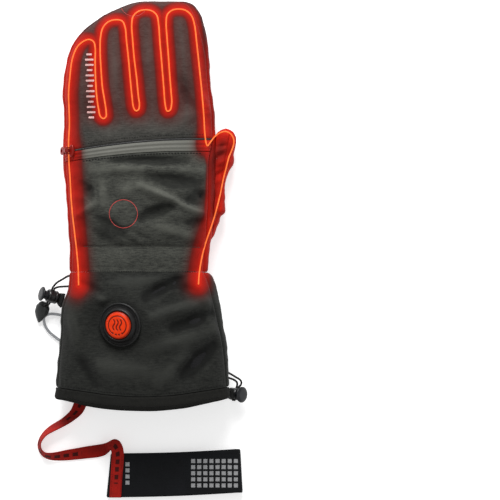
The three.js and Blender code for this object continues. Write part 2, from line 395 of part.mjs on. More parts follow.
// ------------------------------------------------------------------ zip slider and pull
const zipNormal = (x, y) => {
  const e = 1.5;
  return V(-(topZ(x + e, y) - topZ(x - e, y)) / (2 * e), -(topZ(x, y + e) - topZ(x, y - e)) / (2 * e), 1).normalize();
};
const SLIDER = { x: -53.6, y: 75.4, bar: [-2.6, 0, 3.7] };
const PULL = { dir: [-0.45, -0.16, -0.88], length: 11.5, width: 7.0, thick: 1.8 };
{
  const n = zipNormal(SLIDER.x, SLIDER.y), c = V(SLIDER.x, SLIDER.y, topZ(SLIDER.x, SLIDER.y)).addScaledVector(n, 2.3);
  const side = V(0, 1, 0).addScaledVector(n, -n.y).normalize(), run = V(0, 0, 0).crossVectors(side, n);
  const basis = new THREE.Matrix4().makeBasis(run, side, n).setPosition(c);
  const bar = new THREE.CylinderGeometry(0.7, 0.7, 6.0, 12).translate(...SLIDER.bar);
  const post = (s) => solid(new THREE.BoxGeometry(1.8, 0.9, 3.4).translate(SLIDER.bar[0] + 0.2, s * 2.55, 2.7));
  const made = solid(roundedBox(4.8, 10.4, 2.6, 1.9)).add(post(1)).add(post(-1)).add(solid(bar));
  piece('zip_slider', geometry(made).applyMatrix4(basis), 0x15171a, 0.35, 0.6);
  // the pull's eye goes round the bar; the tab hangs down the side of the hand
  const hinge = V(...SLIDER.bar).applyMatrix4(basis);
  const down = V(...PULL.dir).addScaledVector(side, -V(...PULL.dir).dot(side)).normalize(), face = V(0, 0, 0).crossVectors(down, side);
  const pullBasis = new THREE.Matrix4().makeBasis(down, side, face).setPosition(hinge);
  const eye = solid(new THREE.CylinderGeometry(2.0, 2.0, 3.4, 20)).subtract(solid(new THREE.CylinderGeometry(1.15, 1.15, 4, 20)));
  const neck = solid(new THREE.BoxGeometry(2.4, 3.0, PULL.thick).translate(2.5, 0, 0));
  const tabShape = solid(roundedBox(PULL.length - 3.2, PULL.width, PULL.thick, 2.2, 4).translate(3.2 + (PULL.length - 3.2) / 2, 0, 0));
  piece('zip_pull', geometry(eye.add(neck).add(tabShape)).applyMatrix4(pullBasis), 0x1b1b1b, 0.45);
  glove.userData.zip = { hinge, side };
}

// ------------------------------------------------------------------ heating wire, laid on the outer face
const WIRE = [[-49.3, -38.2], [-49.7, -24.6], [-51, -9.3], [-52.7, 6], [-54.4, 21.2], [-55.7, 36.5], [-56.5, 51.9], [-57.5, 67.1], [-57.8, 82.5],
  [-57.1, 97.8], [-57.5, 113], [-57.8, 123.2], [-56.7, 138.5], [-54.6, 153.8], [-50.6, 163.6], [-45.5, 168.3], [-40.4, 170], [-36.5, 167.9],
  [-35.2, 163.2], [-35.1, 151.3], [-34.7, 136], [-33.6, 120.7], [-32.1, 110.5], [-30.6, 104.5], [-28.1, 102.6], [-25.8, 104.1], [-25.7, 108.8],
  [-27.2, 119], [-28.9, 129.2], [-30.1, 144.5], [-30.9, 159.8], [-30.6, 171.7], [-28.7, 179.8], [-24.2, 184.9], [-17.8, 186.7], [-12.3, 185.5],
  [-9.8, 180.2], [-8.5, 168.3], [-6.8, 153], [-5.1, 134.3], [-3.7, 120.7], [-2.5, 112.2], [-0.6, 109.2], [1.7, 110.1], [2.5, 114.8], [1.7, 120.7],
  [0, 137.7], [-2.1, 154.7], [-3.4, 170], [-4.2, 181.9], [-3, 189.5], [1.3, 193.8], [7.2, 195.2], [12.8, 194.2], [17, 190.4], [18.7, 181.9],
  [19.7, 168.3], [21.2, 151.3], [22.9, 130.9], [24.4, 113.9], [25.9, 109], [28.3, 109.6], [29.8, 115.6], [29.2, 125.8], [28.1, 139.4],
  [26.9, 156.4], [25.7, 171.7], [25, 183.6], [25.9, 190.8], [29.8, 194.7], [35.3, 195.9], [41.6, 194.7], [46.3, 190.4], [48.9, 182.8],
  [51, 165.8], [53.1, 146.2], [55.2, 125.8], [56.9, 105.4], [57.8, 90.1], [58.9, 82], [60, 79.7], [61.7, 81.8], [65.9, 87.5], [70.5, 91.0],
  [75.2, 92.2], [79.5, 90.2], [82.0, 86.1], [82.2, 81.6], [80.5, 76.1], [78.2, 70.5], [75.8, 61.2], [73.2, 51], [71, 39.9], [68.8, 30.6],
  [65.9, 20], [62.5, 9.3], [59.1, -0.4], [56.5, -9.3], [54.2, -20.4], [52.9, -29.8], [52.4, -37.4]];
const wirePoints = WIRE.map(([x, y]) => V(x, y, topZ(x, y) + (WIRE_D / 2 + 0.65) / Math.max(zipNormal(x, y).z, 0.42)));
piece('heating_wire', tube(wirePoints, WIRE_D, 4, false, 170), 0xff7a28, 0.5);

// ------------------------------------------------------------------ cord locks
// barrel with a blind bore from the outer end, a spring plunger in it, a cross slot for the cords
function cordLock(name, L, color) {
  const dir = L.axis.clone().normalize(), q = new THREE.Quaternion().setFromUnitVectors(V(0, 0, 1), dir);
  const place = (g) => moved(g, L.base, dir);
  const flat = L.cross.clone().applyQuaternion(q.clone().invert()).setZ(0).normalize();
  const tunnel = (z0, z1) => new THREE.BoxGeometry(30, 3.0, z1 - z0).translate(0, 0, (z0 + z1) / 2)
    .applyQuaternion(new THREE.Quaternion().setFromUnitVectors(V(1, 0, 0), flat));
  const body = turned([[0, 0], [L.r - 0.8, 0], [L.r, 0.9], [L.r, L.len - 1.1], [L.r - 0.5, L.len], [L.r - 1.5, L.len], [L.r - 1.5, 1.5], [0, 1.5]], 18);
  const plunger = turned([[0, 3.9], [L.r - 1.9, 3.9], [L.r - 1.9, L.all - 2.8], [L.head - 0.7, L.all - 2.4], [L.head, L.all - 1.8], [L.head, L.all - 1.0],
    [L.head - 1.2, L.all - 0.3], [0, L.all]], 20);
  piece(`${name}_body`, geometry(solid(place(body)).subtract(solid(place(tunnel(SLOT[0], SLOT[1]))))), color, 0.4);
  piece(`${name}_plunger`, geometry(solid(place(plunger)).subtract(solid(place(tunnel(SLOT[0], SLOT[1] + PRESS_LOCK))))), 0x3f4143, 0.35);
}
cordLock('wrist_lock', LOCK_W, 0x121314);
cordLock('hem_lock', LOCK_H, 0x121314);
CORDS.forEach((c) => piece(c.name, tube(c.points, CORD_D, 8, false, Math.round(c.points.length * 1.5)), 0x101010, 0.6));

// ribbon between two edges; rows: left edge x y z, right edge x y z
function ribbon(name, rows, thick, color, rough) {
  const edge = rows.map((r) => [V(r[0], r[1], r[2]), V(r[3], r[4], r[5])]), n = rows.length - 1;
  const face = (u, v, side) => {
    const i = Math.round(u * n), [a, b] = edge[i], p = edge[Math.max(i - 1, 0)], q = edge[Math.min(i + 1, n)];
    const along = q[0].clone().add(q[1]).sub(p[0]).sub(p[1]), off = b.clone().sub(a).cross(along).normalize();
    return a.clone().lerp(b, v).addScaledVector(off, side * thick / 2);
  };
  return piece(name, wall(n, 2, (u, v) => face(u, v, 1), (u, v) => face(u, v, -1)), color, rough);
}
ribbon('wrist_tab', WRIST_TAB, 1.4, 0x141414, 0.8);
ribbon('hem_tab', HEM_TAB, 1.4, 0x141414, 0.8);
ribbon('leash_strap', LEASH, STRAP_T, 0xa5241c, 0.7);

// leaf-shaped cord end with a bore for the two cords and an eye for the wire loop
{
  const down = V(...CORD_END.tip).sub(V(...CORD_END.top)), acrossE = V(-down.y, down.x, 0).normalize(), up = V(0, 0, 0).crossVectors(down, acrossE).normalize();
  const rings = CORD_END.rows.map(([s, half, low, high]) => Array.from({ length: 12 }, (_, j) => {
    const t = (j / 12) * 2 * Math.PI, z = Math.sin(t) >= 0 ? high * Math.sin(t) : low * Math.sin(t);
    return V(...CORD_END.top).addScaledVector(down, s).addScaledVector(acrossE, half * Math.cos(t)).addScaledVector(up, Math.sign(up.z) * z);
  }));
  let g = solid(loft(rings));
  for (const c of CORDS.slice(0, 2)) g = g.subtract(cordHole(c.points.slice(-4), CORD_D - 0.3));
  g = g.subtract(solid(tube(LOOP.map((p) => V(...p)).slice(0, 6), LOOP_D + 0.9, 8)));
  piece('cord_end', geometry(g), 0x3c3e3d, 0.5);
}
// plain closed loop of clear wire, through the cord end's eye
{
  const curve = new THREE.CatmullRomCurve3(LOOP.map((p) => V(...p)), true, 'centripetal');
  const n = 26, rings = Array.from({ length: n }, (_, i) => {
    const c = curve.getPointAt(i / n), t = curve.getTangentAt(i / n), side = V(-t.y, t.x, 0).normalize(), up = V(0, 0, 0).crossVectors(t, side);
    return Array.from({ length: 8 }, (_k, j) => c.clone().addScaledVector(side, Math.cos(j * Math.PI / 4) * LOOP_D / 2).addScaledVector(up, Math.sin(j * Math.PI / 4) * LOOP_D / 2));
  });
  const points = rings.flat(), faces = [];
  for (let i = 0; i < n; i++) for (let j = 0; j < 8; j++) {
    const a = i * 8 + j, b = i * 8 + (j + 1) % 8, c = ((i + 1) % n) * 8 + (j + 1) % 8, d = ((i + 1) % n) * 8 + j;
    faces.push([a, b, c], [a, c, d]);
  }
  piece('wire_loop', fromLists(points, faces), 0xb9bbb8, 0.25, 0.1);
}

// elastic wrist band: one flat loop lying on its side, the hand goes through along Y
{
  const n = 32;
  const around = (v, inset) => {                        // stadium: share along the length, height
    const r = BAND_H / 2 - inset, straight = 1, s = (v * 4) % 4;
    if (s < 1) return [s, BAND_H / 2 + r, 0];
    if (s < 2) { const a = Math.PI / 2 - (s - 1) * Math.PI; return [straight, BAND_H / 2 + r * Math.sin(a), r * Math.cos(a)]; }
    if (s < 3) return [3 - s, BAND_H / 2 - r, 0];
    const a = -Math.PI / 2 - (s - 3) * Math.PI;
    return [0, BAND_H / 2 + r * Math.sin(a), r * Math.cos(a)];
  };
  const point = (u, v, inset) => {
    const [f, z, dx] = around(v, inset);
    const R = BAND_H / 2, xTop = BAND.top[0][0] + R + (BAND.top[1][0] - BAND.top[0][0] - 2 * R) * f, xLow = BAND.low[0][0] + R + (BAND.low[1][0] - BAND.low[0][0] - 2 * R) * f;
    const yTop = BAND.top[0][1] + (BAND.top[1][1] - BAND.top[0][1]) * f - BAND.bow * Math.sin(Math.PI * f), yLow = BAND.low[0][1] + (BAND.low[1][1] - BAND.low[0][1]) * f - BAND.bow * Math.sin(Math.PI * f);
    return V(xTop + (xLow - xTop) * u + dx, yTop + (yLow - yTop) * u, z);
  };
  piece('wrist_band', wall(3, n, (u, v) => point(u, v, 0), (u, v) => point(u, v, BAND_T), true), 0x17181a, 0.85);
}

glove.position.set(...ORIGIN);
const group = new THREE.Group();
group.add(glove);
export default group;
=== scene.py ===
# Heated mitten glove, left hand, lying palm down: cloth shells, trims and lights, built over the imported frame.
import math
import bpy
import numpy as np
from mathutils import Matrix, Quaternion, Vector
from mathutils.bvhtree import BVHTree


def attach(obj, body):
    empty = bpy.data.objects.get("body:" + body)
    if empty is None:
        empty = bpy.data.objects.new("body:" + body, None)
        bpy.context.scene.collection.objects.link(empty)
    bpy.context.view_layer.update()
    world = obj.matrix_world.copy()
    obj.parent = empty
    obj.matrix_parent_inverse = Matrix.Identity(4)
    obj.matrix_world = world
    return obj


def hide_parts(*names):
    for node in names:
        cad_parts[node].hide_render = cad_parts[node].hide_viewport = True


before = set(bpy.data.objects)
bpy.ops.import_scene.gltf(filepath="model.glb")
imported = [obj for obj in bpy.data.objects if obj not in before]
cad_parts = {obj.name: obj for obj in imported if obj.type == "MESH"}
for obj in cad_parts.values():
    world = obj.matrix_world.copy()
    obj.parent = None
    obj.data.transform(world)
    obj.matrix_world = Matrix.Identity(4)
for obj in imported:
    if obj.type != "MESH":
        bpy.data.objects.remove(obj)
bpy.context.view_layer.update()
BODY = "glove"
O = np.array([-4.741, 7.5, 0.0])            # the glove's own millimetre frame to the row frame


def metres(p):
    return (np.asarray(p, float) + O) / 1000.0


def px(x, y):
    return (x - 137) * 0.85, (240 - y) * 0.85


# ---------------------------------------------------------------- camera
scene = bpy.context.scene
scene.view_settings.view_transform = "Standard"
scene.view_settings.look = "None"
cam_data = bpy.data.cameras.new("camera")
cam = bpy.data.objects.new("camera", cam_data)
scene.collection.objects.link(cam)
aim = metres([96.05, -8.5, 20.0])
HEIGHT = 5.0
cam.location = (aim[0], aim[1], aim[2] + HEIGHT)
cam.rotation_euler = (0, 0, 0)
cam_data.sensor_width = 36.0
cam_data.lens = 36.0 * HEIGHT / 0.425
cam_data.clip_end = 50
scene.camera = cam

# ---------------------------------------------------------------- section tables, in millimetres
N_TOP, N_LOW, FLAT = 2.3, 3.0, 1.2
WALL_HAND, WALL_CUFF, WALL_HEM, WALL_THUMB = 4.2, 3.6, 4.4, 3.4
SEAM, SEAM_T, WRIST_Y, HEM_Y = 0.4, 0.012, -27.2, -130.0


class Table:
    """Smooth table lookup without overshoot, first column ascending."""

    def __init__(self, rows):
        a = np.array(sorted([list(r) for r in rows]), float)
        self.k, self.v = a[:, 0], a[:, 1:]
        h = np.diff(self.k)[:, None]
        s = np.diff(self.v, axis=0) / h
        t = np.zeros_like(self.v)
        t[0], t[-1] = s[0], s[-1]
        a0, b0 = s[:-1], s[1:]
        with np.errstate(divide="ignore", invalid="ignore"):
            m = np.where(a0 * b0 > 0, 2 * a0 * b0 / np.where(a0 + b0 == 0, 1, a0 + b0), 0)
        t[1:-1] = m
        self.t = t

    def __call__(self, key, col):
        key = np.clip(np.asarray(key, float), self.k[0], self.k[-1])
        i = np.clip(np.searchsorted(self.k, key, side="right") - 1, 0, len(self.k) - 2)
        h = self.k[i + 1] - self.k[i]
        s = (key - self.k[i]) / h
        v, t, c = self.v, self.t, col - 1
        return ((2 * s**3 - 3 * s**2 + 1) * v[i, c] + (s**3 - 2 * s**2 + s) * h * t[i, c]
                + (-2 * s**3 + 3 * s**2) * v[i + 1, c] + (s**3 - s**2) * h * t[i + 1, c])


HAND = Table([
    [-30.0, -57.3, 60.6, 38.0, 18.0, 0], [-27.2, -57.3, 60.4, 38.0, 18.0, 0], [-18.7, -57.2, 60.4, 38.0, 18.0, 0],
    [-8.5, -56.9, 61.2, 39.0, 18.0, 0], [1.7, -57.8, 63.3, 41.0, 18.0, 0], [15.3, -58.6, 65.0, 44.0, 18.5, 0],
    [29.8, -59.5, 66.5, 46.0, 19.0, 0], [44.2, -60.5, 67.0, 47.0, 19.0, 0], [57.8, -62.0, 67.2, 47.0, 19.0, 0],
    [71.4, -62.7, 67.2, 46.5, 19.0, 0], [83.3, -62.6, 66.9, 45.5, 18.5, 0], [95.2, -62.0, 66.3, 44.5, 18.0, 0],
    [108.8, -62.0, 65.5, 43.5, 18.0, 0], [122.4, -63.4, 63.8, 42.5, 18.0, 0], [137.7, -62.2, 62.0, 41.0, 18.0, 0],
    [149.6, -60.4, 61.5, 40.0, 17.5, 0], [163.2, -56.1, 60.5, 38.0, 17.5, 0.2], [176.8, -46.8, 58.6, 36.0, 17.0, 0.8],
    [183.6, -39.1, 56.9, 34.5, 17.0, 1.8], [190.4, -28.9, 54.4, 32.0, 17.0, 3.4], [197.2, -15.3, 50.1, 28.0, 16.8, 6.6],
    [200.6, -6.8, 46.3, 25.0, 16.6, 9.4], [203.2, 5.1, 38.2, 20.5, 16.5, 13.2], [204.3, 12.0, 32.0, 16.5, 16.5, 16.5]])
CUFF = Table([
    [-27.2, -57.2, 61.0, 38.0, 18.0, 0], [-34.0, -57.6, 65.0, 40.0, 18.5, 0], [-40.8, -58.2, 67.1, 42.0, 19.0, 0],
    [-51.0, -61.8, 69.4, 44.0, 19.5, 0], [-58.0, -63.9, 70.8, 44.8, 19.8, 0], [-68.0, -64.7, 72.4, 45.5, 20.0, 0],
    [-85.0, -65.4, 75.6, 46.5, 20.0, 0], [-102.0, -67.2, 77.3, 47.0, 20.0, 0], [-119.0, -68.5, 78.2, 47.0, 20.0, 0],
    [-129.2, -69.3, 78.5, 46.5, 20.0, 0], [-139.4, -69.4, 78.4, 46.0, 20.0, 0], [-147.0, -69.2, 78.2, 45.5, 20.0, 0]])
THUMB = Table([
    [-10.0, 47.0, 10.0, 13.5, 11.0], [2.0, 52.3, 12.0, 13.5, 12.3], [12.0, 56.0, 12.8, 13.5, 12.8],
    [20.0, 58.0, 13.0, 13.5, 13.0], [24.5, 60.8, 13.9, 13.5, 13.0], [39.4, 61.0, 13.6, 13.5, 13.0],
    [51.0, 62.0, 13.6, 13.5, 13.0], [58.0, 64.3, 13.4, 13.4, 13.0], [66.0, 68.7, 13.4, 13.2, 12.8],
    [71.4, 69.3, 12.6, 13.2, 12.6], [78.0, 72.3, 11.3, 13.5, 12.2], [84.0, 74.2, 10.2, 14.0, 11.5],
    [88.0, 75.0, 8.9, 14.5, 10.2], [91.5, 75.4, 6.6, 15.0, 7.6], [93.9, 75.5, 3.3, 15.0, 4.0], [95.0, 75.5, 0.0, 15.0, 0.0]])
SIDE = Table([
    [-145, 14, 12], [-132, 14, 12], [-68, 20, 12], [-34, 24, 12], [-20, 20, 12], [20, 25, 12], [45, 26, 12], [58, 26, 12],
    [68, 25, 12], [80, 19, 12], [92, 14, 12], [110, 13, 12], [153, 15, 12], [166, 20, 12], [187, 28, 14], [204.3, 30, 16]])
ZIP_TOP = Table([[-66, 74.0], [-49.3, 76.9], [-22.9, 80.8], [2.5, 83.7], [28.1, 85.4], [50, 85.9], [68, 85.9]])
ZIP_LOW = Table([[-66, 65.6], [-46.8, 68.0], [-22.9, 71.0], [2.5, 73.4], [28.1, 74.8], [50, 75.0], [68, 75.0]])
HEM_SEAM = Table([[-70, -124.8], [-44.2, -128.3], [-21.2, -131.3], [2.5, -132.6], [26.3, -131.8], [53.5, -128.3], [79, -124.6]])
HEM_LOW = Table([[-70, -135.0], [-56.9, -137.6], [-44.2, -140.7], [-28.1, -143.1], [-10.2, -144.5], [11.0, -145.0],
                 [39.9, -142.8], [57.8, -139.4], [73.1, -136.0], [79, -134.3]])
# main folds, as in the solid: x0, y0, x1, y1, half width, height
FOLDS = [
    [-50, -7, 52, -6, 5.5, -1.7], [-46, -25, 50, -25, 6, -1.4], [12, 36, 52, 16, 8, 2.0], [-44, 43, -6, 30, 7, -1.2],
    [-40, 62, 30, 60, 6, 1.2], [36, 134, 58, 122, 6, -1.5], [40, 118, 60, 100, 6, 1.4], [66, -52, 44, -88, 6, 1.8],
    [36, -36, 58, -62, 6, -1.8], [-52, -50, -38, -100, 8, 1.3], [12, -96, 48, -116, 8, -1.4], [-30, 8, 20, 4, 7, 1.1]]
BUTTON = dict(x=-13.1, y=-71.6, flat=21.0, fade=43.0, z=44.6)
BN = np.array([-math.sin(math.radians(22)), -math.sin(math.radians(6)), 0.0])
BN[2] = math.sqrt(1 - BN[0]**2 - BN[1]**2)
WIRE = np.array([
    [-49.3, -38.2], [-49.7, -24.6], [-51, -9.3], [-52.7, 6], [-54.4, 21.2], [-55.7, 36.5], [-56.5, 51.9], [-57.5, 67.1], [-57.8, 82.5],
    [-57.1, 97.8], [-57.5, 113], [-57.8, 123.2], [-56.7, 138.5], [-54.6, 153.8], [-50.6, 163.6], [-45.5, 168.3], [-40.4, 170], [-36.5, 167.9],
    [-35.2, 163.2], [-35.1, 151.3], [-34.7, 136], [-33.6, 120.7], [-32.1, 110.5], [-30.6, 104.5], [-28.1, 102.6], [-25.8, 104.1], [-25.7, 108.8],
    [-27.2, 119], [-28.9, 129.2], [-30.1, 144.5], [-30.9, 159.8], [-30.6, 171.7], [-28.7, 179.8], [-24.2, 184.9], [-17.8, 186.7], [-12.3, 185.5],
    [-9.8, 180.2], [-8.5, 168.3], [-6.8, 153], [-5.1, 134.3], [-3.7, 120.7], [-2.5, 112.2], [-0.6, 109.2], [1.7, 110.1], [2.5, 114.8], [1.7, 120.7],
    [0, 137.7], [-2.1, 154.7], [-3.4, 170], [-4.2, 181.9], [-3, 189.5], [1.3, 193.8], [7.2, 195.2], [12.8, 194.2], [17, 190.4], [18.7, 181.9],
    [19.7, 168.3], [21.2, 151.3], [22.9, 130.9], [24.4, 113.9], [25.9, 109], [28.3, 109.6], [29.8, 115.6], [29.2, 125.8], [28.1, 139.4],
    [26.9, 156.4], [25.7, 171.7], [25, 183.6], [25.9, 190.8], [29.8, 194.7], [35.3, 195.9], [41.6, 194.7], [46.3, 190.4], [48.9, 182.8],
    [51, 165.8], [53.1, 146.2], [55.2, 125.8], [56.9, 105.4], [57.8, 90.1], [58.9, 82], [60, 79.7], [61.7, 81.8], [65.9, 87.5], [70.5, 91.0],
    [75.2, 92.2], [79.5, 90.2], [82.0, 86.1], [82.2, 81.6], [80.5, 76.1], [78.2, 70.5], [75.8, 61.2], [73.2, 51], [71, 39.9], [68.8, 30.6],
    [65.9, 20], [62.5, 9.3], [59.1, -0.4], [56.5, -9.3], [54.2, -20.4], [52.9, -29.8], [52.4, -37.4]])


# ---------------------------------------------------------------- small maths
def smooth(a, b, v):
    s = np.clip((np.asarray(v, float) - a) / (b - a), 0, 1)
    return s * s * (3 - 2 * s)


def fold_sum(x, y, folds, reach=2.4):
    z = np.zeros(np.broadcast(x, y).shape)
    for x0, y0, x1, y1, w, h in folds:
        dx, dy = x1 - x0, y1 - y0
        q = np.clip(((x - x0) * dx + (y - y0) * dy) / (dx * dx + dy * dy), 0, 1)
        d = np.hypot(x - x0 - q * dx, y - y0 - q * dy)
        z = z + np.where(d < reach * w, h * np.exp(-((d / w) ** 2)) * (1 - 0.5 * np.abs(2 * q - 1)), 0)
    return z


def relief(x, y, z, d):
    out = z + fold_sum(x, y, FOLDS, 2.2)
    r = np.hypot(x - BUTTON["x"], y - BUTTON["y"])
    w = 1 - smooth(BUTTON["flat"], BUTTON["fade"], r)
    reach = np.minimum(1, BUTTON["flat"] / np.maximum(r, 1e-6))
    plane = BUTTON["z"] - d - reach * (BN[0] * (x - BUTTON["x"]) + BN[1] * (y - BUTTON["y"])) / BN[2]
    return np.where(r < BUTTON["fade"], out * (1 - w) + plane * w, out)


def ring(table, y, t, d, lift=0.0):
    """Points of a section ring: t = 0 right, pi/2 top, pi left."""
    y, t, d = np.broadcast_arrays(np.asarray(y, float), np.asarray(t, float), np.asarray(d, float))
    xl, xr, h, ze, zb = (table(y, c) for c in (1, 2, 3, 4, 5))
    c, s = np.cos(t), np.sin(t)
    cx, a = (xl + xr) / 2, np.maximum((xr - xl) / 2 - d, 0.5)
    pw = lambda v, e: np.sign(v) * np.abs(v) ** e
    xt = cx + a * pw(c, 2 / N_TOP)
    zt = ze + np.maximum(h - d - ze, 0) * np.abs(s) ** (2 / N_TOP)
    zt2 = zt + (relief(xt, y, zt, d) - zt) * smooth(0.05, 0.5, s) + lift
    xb = cx + a * pw(c, 2 / N_LOW)
    depth = np.maximum(ze - zb - d, 0)
    zb2 = np.maximum(ze - (depth + np.where(depth > 0, FLAT, 0)) * np.abs(s) ** (2 / N_LOW), zb + np.minimum(d, ze - zb))
    top = s >= 0
    return np.stack([np.where(top, xt, xb), y, np.where(top, zt2, zb2)], -1)


seam_r = lambda y: np.radians(SIDE(y, 1))
seam_l = lambda y: np.pi - np.radians(SIDE(y, 2))


def top_z(x, y):
    x, y = np.broadcast_arrays(np.asarray(x, float), np.asarray(y, float))
    best = np.full(x.shape, -1.0)
    for table, mask in ((HAND, y > WRIST_Y), (CUFF, y <= WRIST_Y)):
        xl, xr, h, ze = (table(y, c) for c in (1, 2, 3, 4))
        u = np.abs((x - (xl + xr) / 2) / ((xr - xl) / 2))
        c = np.minimum(u, 1) ** (N_TOP / 2)
        s = np.sqrt(np.maximum(1 - c * c, 0))
        z = ze + (h - ze) * s ** (2 / N_TOP)
        z = z + (relief(x, y, z, 0) - z) * smooth(0.05, 0.5, s) + SEAM
        best = np.where(mask & (u < 1), z, best)
    r = np.maximum(THUMB(y, 2), 1e-6)
    v = np.abs((x - THUMB(y, 1)) / r)
    z = THUMB(y, 3) + THUMB(y, 4) * np.sqrt(np.maximum(1 - v * v, 0))
    return np.where((y > -10) & (y < 95) & (v < 1), np.maximum(best, z), best)


_lattice = np.random.RandomState(7).rand(32, 32, 32)


def noise(p, size, seed=0):
    """Smooth value noise from -1 to 1 over points in millimetres."""
    q = np.asarray(p, float) / size + seed * 3.71
    i = np.floor(q).astype(int)
    f = q - i
    f = f * f * f * (f * (f * 6 - 15) + 10)
    out = 0
    for a in (0, 1):
        for b in (0, 1):
            for c in (0, 1):
                w = (f[..., 0] if a else 1 - f[..., 0]) * (f[..., 1] if b else 1 - f[..., 1]) * (f[..., 2] if c else 1 - f[..., 2])
                out = out + w * _lattice[(i[..., 0] + a) % 32, (i[..., 1] + b) % 32, (i[..., 2] + c) % 32]
    return out * 2 - 1


def resample(points, step=None, n=None, closed=False):
    """Centripetal-like smooth curve through points, evenly spaced."""
    p = np.asarray(points, float)
    if closed:
        p = np.vstack([p[-2:], p, p[:3]])
    else:
        p = np.vstack([2 * p[0] - p[1], p, 2 * p[-1] - p[-2]])
    out = []
    last = len(p) - 2
    for i in range(1, last):
        p0, p1, p2, p3 = p[i - 1], p[i], p[i + 1], p[i + 2]
        d = [max(np.linalg.norm(b - a), 1e-6) ** 0.5 for a, b in ((p0, p1), (p1, p2), (p2, p3))]
        t0, t1 = 0.0, d[0]
        t2, t3 = t1 + d[1], t1 + d[1] + d[2]
        t = np.linspace(t1, t2, 17)[:-1][:, None]
        a1 = (t1 - t) / (t1 - t0) * p0 + (t - t0) / (t1 - t0) * p1
        a2 = (t2 - t) / (t2 - t1) * p1 + (t - t1) / (t2 - t1) * p2
        a3 = (t3 - t) / (t3 - t2) * p2 + (t - t2) / (t3 - t2) * p3
        b1 = (t2 - t) / (t2 - t0) * a1 + (t - t0) / (t2 - t0) * a2
        b2 = (t3 - t) / (t3 - t1) * a2 + (t - t1) / (t3 - t1) * a3
        out.append((t2 - t) / (t2 - t1) * b1 + (t - t1) / (t2 - t1) * b2)
    q = np.vstack(out + [p[last][None]])
    if closed:
        q = q[16:]                              # starts at the second added point's end
        q = q[: len(points) * 16 + 1]
    s = np.concatenate([[0], np.cumsum(np.linalg.norm(np.diff(q, axis=0), axis=1))])
    n = n or max(int(round(s[-1] / step)) + 1, 3)
    u = np.linspace(0, s[-1], n)
    return np.stack([np.interp(u, s, q[:, k]) for k in range(q.shape[1])], -1)


def line_distance(x, y, line):
    """Least distance in plan from points to a polyline."""
    line = np.asarray(line, float)[:, :2]
    a, b = line[:-1], line[1:]
    pts = np.stack([np.ravel(x), np.ravel(y)], -1)
    out = np.empty(len(pts))
    ab = b - a
    l2 = (ab**2).sum(1)
    for k in range(0, len(pts), 4000):
        p = pts[k:k + 4000, None, :]
        t = np.clip(((p - a) * ab).sum(-1) / l2, 0, 1)
        out[k:k + 4000] = np.sqrt((((p - a) - t[..., None] * ab) ** 2).sum(-1).min(1))
    return out.reshape(np.shape(x))


WIRE_LINE = resample(WIRE, step=1.5)


def painted_glow_strength(p):
    """Strength of the painted red glow on the cloth round the heating wire: 1 beside the wire, 0 where the cloth keeps
    its own colour.
    """
    x, y, z = p[..., 0], p[..., 1], p[..., 2]
    d = line_distance(x, y, WIRE_LINE)
    left = smooth(-40, -50, x)
    low = smooth(96, 74, y)
    out_l = smooth(-56.0, -60.0, x) * smooth(185, 165, y) * smooth(-34, -20, y)
    out_r = smooth(56.5, 60.5, x) * smooth(-30, -18, y) * smooth(192, 180, y)
    width = 5.9 + 2.2 * left + 3.4 * low * (1 - smooth(62, 90, x) * 0.5)
    d = d * (1 - 0.50 * np.maximum(out_l, out_r))
    h = np.exp(-((d / (0.94 * width)) ** 2.15))
    h = h * (1 - 0.50 * np.exp(-((x - 71.0) / 5.4) ** 2 - ((y - 76.0) / 9.5) ** 2))
    h = h * (1 - 0.42 * np.exp(-((x - 64.6) / 2.6) ** 2) * smooth(12, 30, y) * smooth(86, 76, y))
    h = np.maximum(h, 0.23 * np.exp(-((d / 13.0) ** 2)) * smooth(88, 104, y))
    return h * smooth(1.5, 9.0, z)


# ---------------------------------------------------------------- mesh helpers
def link(obj, slot=None, replaces=(), body=BODY):
    scene.collection.objects.link(obj)
    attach(obj, body)
    if replaces:
        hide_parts(*([replaces] if isinstance(replaces, str) else replaces))
    return obj


def make(name, points, faces, mats, index=None, smooth_shade=True, sharp=None, attrs=None, uv=None, outward=True, **kw):
    """Mesh object from millimetre points. faces is an array or a list of arrays of equal-length rows."""
    groups = faces if isinstance(faces, list) else [faces]
    p = np.asarray(points, float).reshape(-1, 3)
    if outward:
        vol = 0.0
        for f in groups:
            f = np.asarray(f)
            for k in range(1, f.shape[1] - 1):
                vol += np.einsum("ij,ij->i", p[f[:, 0]], np.cross(p[f[:, k]], p[f[:, k + 1]])).sum()
        if vol < 0:
            groups = [np.asarray(f)[:, ::-1] for f in groups]
    me = bpy.data.meshes.new(name)
    rows = [r for f in groups for r in np.asarray(f).tolist()]
    me.from_pydata(metres(p).tolist(), [], rows)
    for m in mats:
        me.materials.append(m)
    if index is not None:
        me.polygons.foreach_set("material_index", np.asarray(index, np.int32))
    if attrs:
        for key, values in attrs.items():
            a = me.attributes.new(key, "FLOAT", "POINT")
            a.data.foreach_set("value", np.asarray(values, np.float32).ravel())
    if uv is not None:
        layer = me.uv_layers.new(name="along")
        loops = np.empty(len(me.loops), np.int32)
        me.loops.foreach_get("vertex_index", loops)
        layer.data.foreach_set("uv", np.asarray(uv, np.float32).reshape(-1, 2)[loops].ravel())
    me.polygons.foreach_set("use_smooth", np.full(len(me.polygons), bool(smooth_shade)))
    if sharp:
        me.set_sharp_from_angle(angle=math.radians(sharp))
    me.update()
    me.validate()
    return link(bpy.data.objects.new(name, me), **kw)


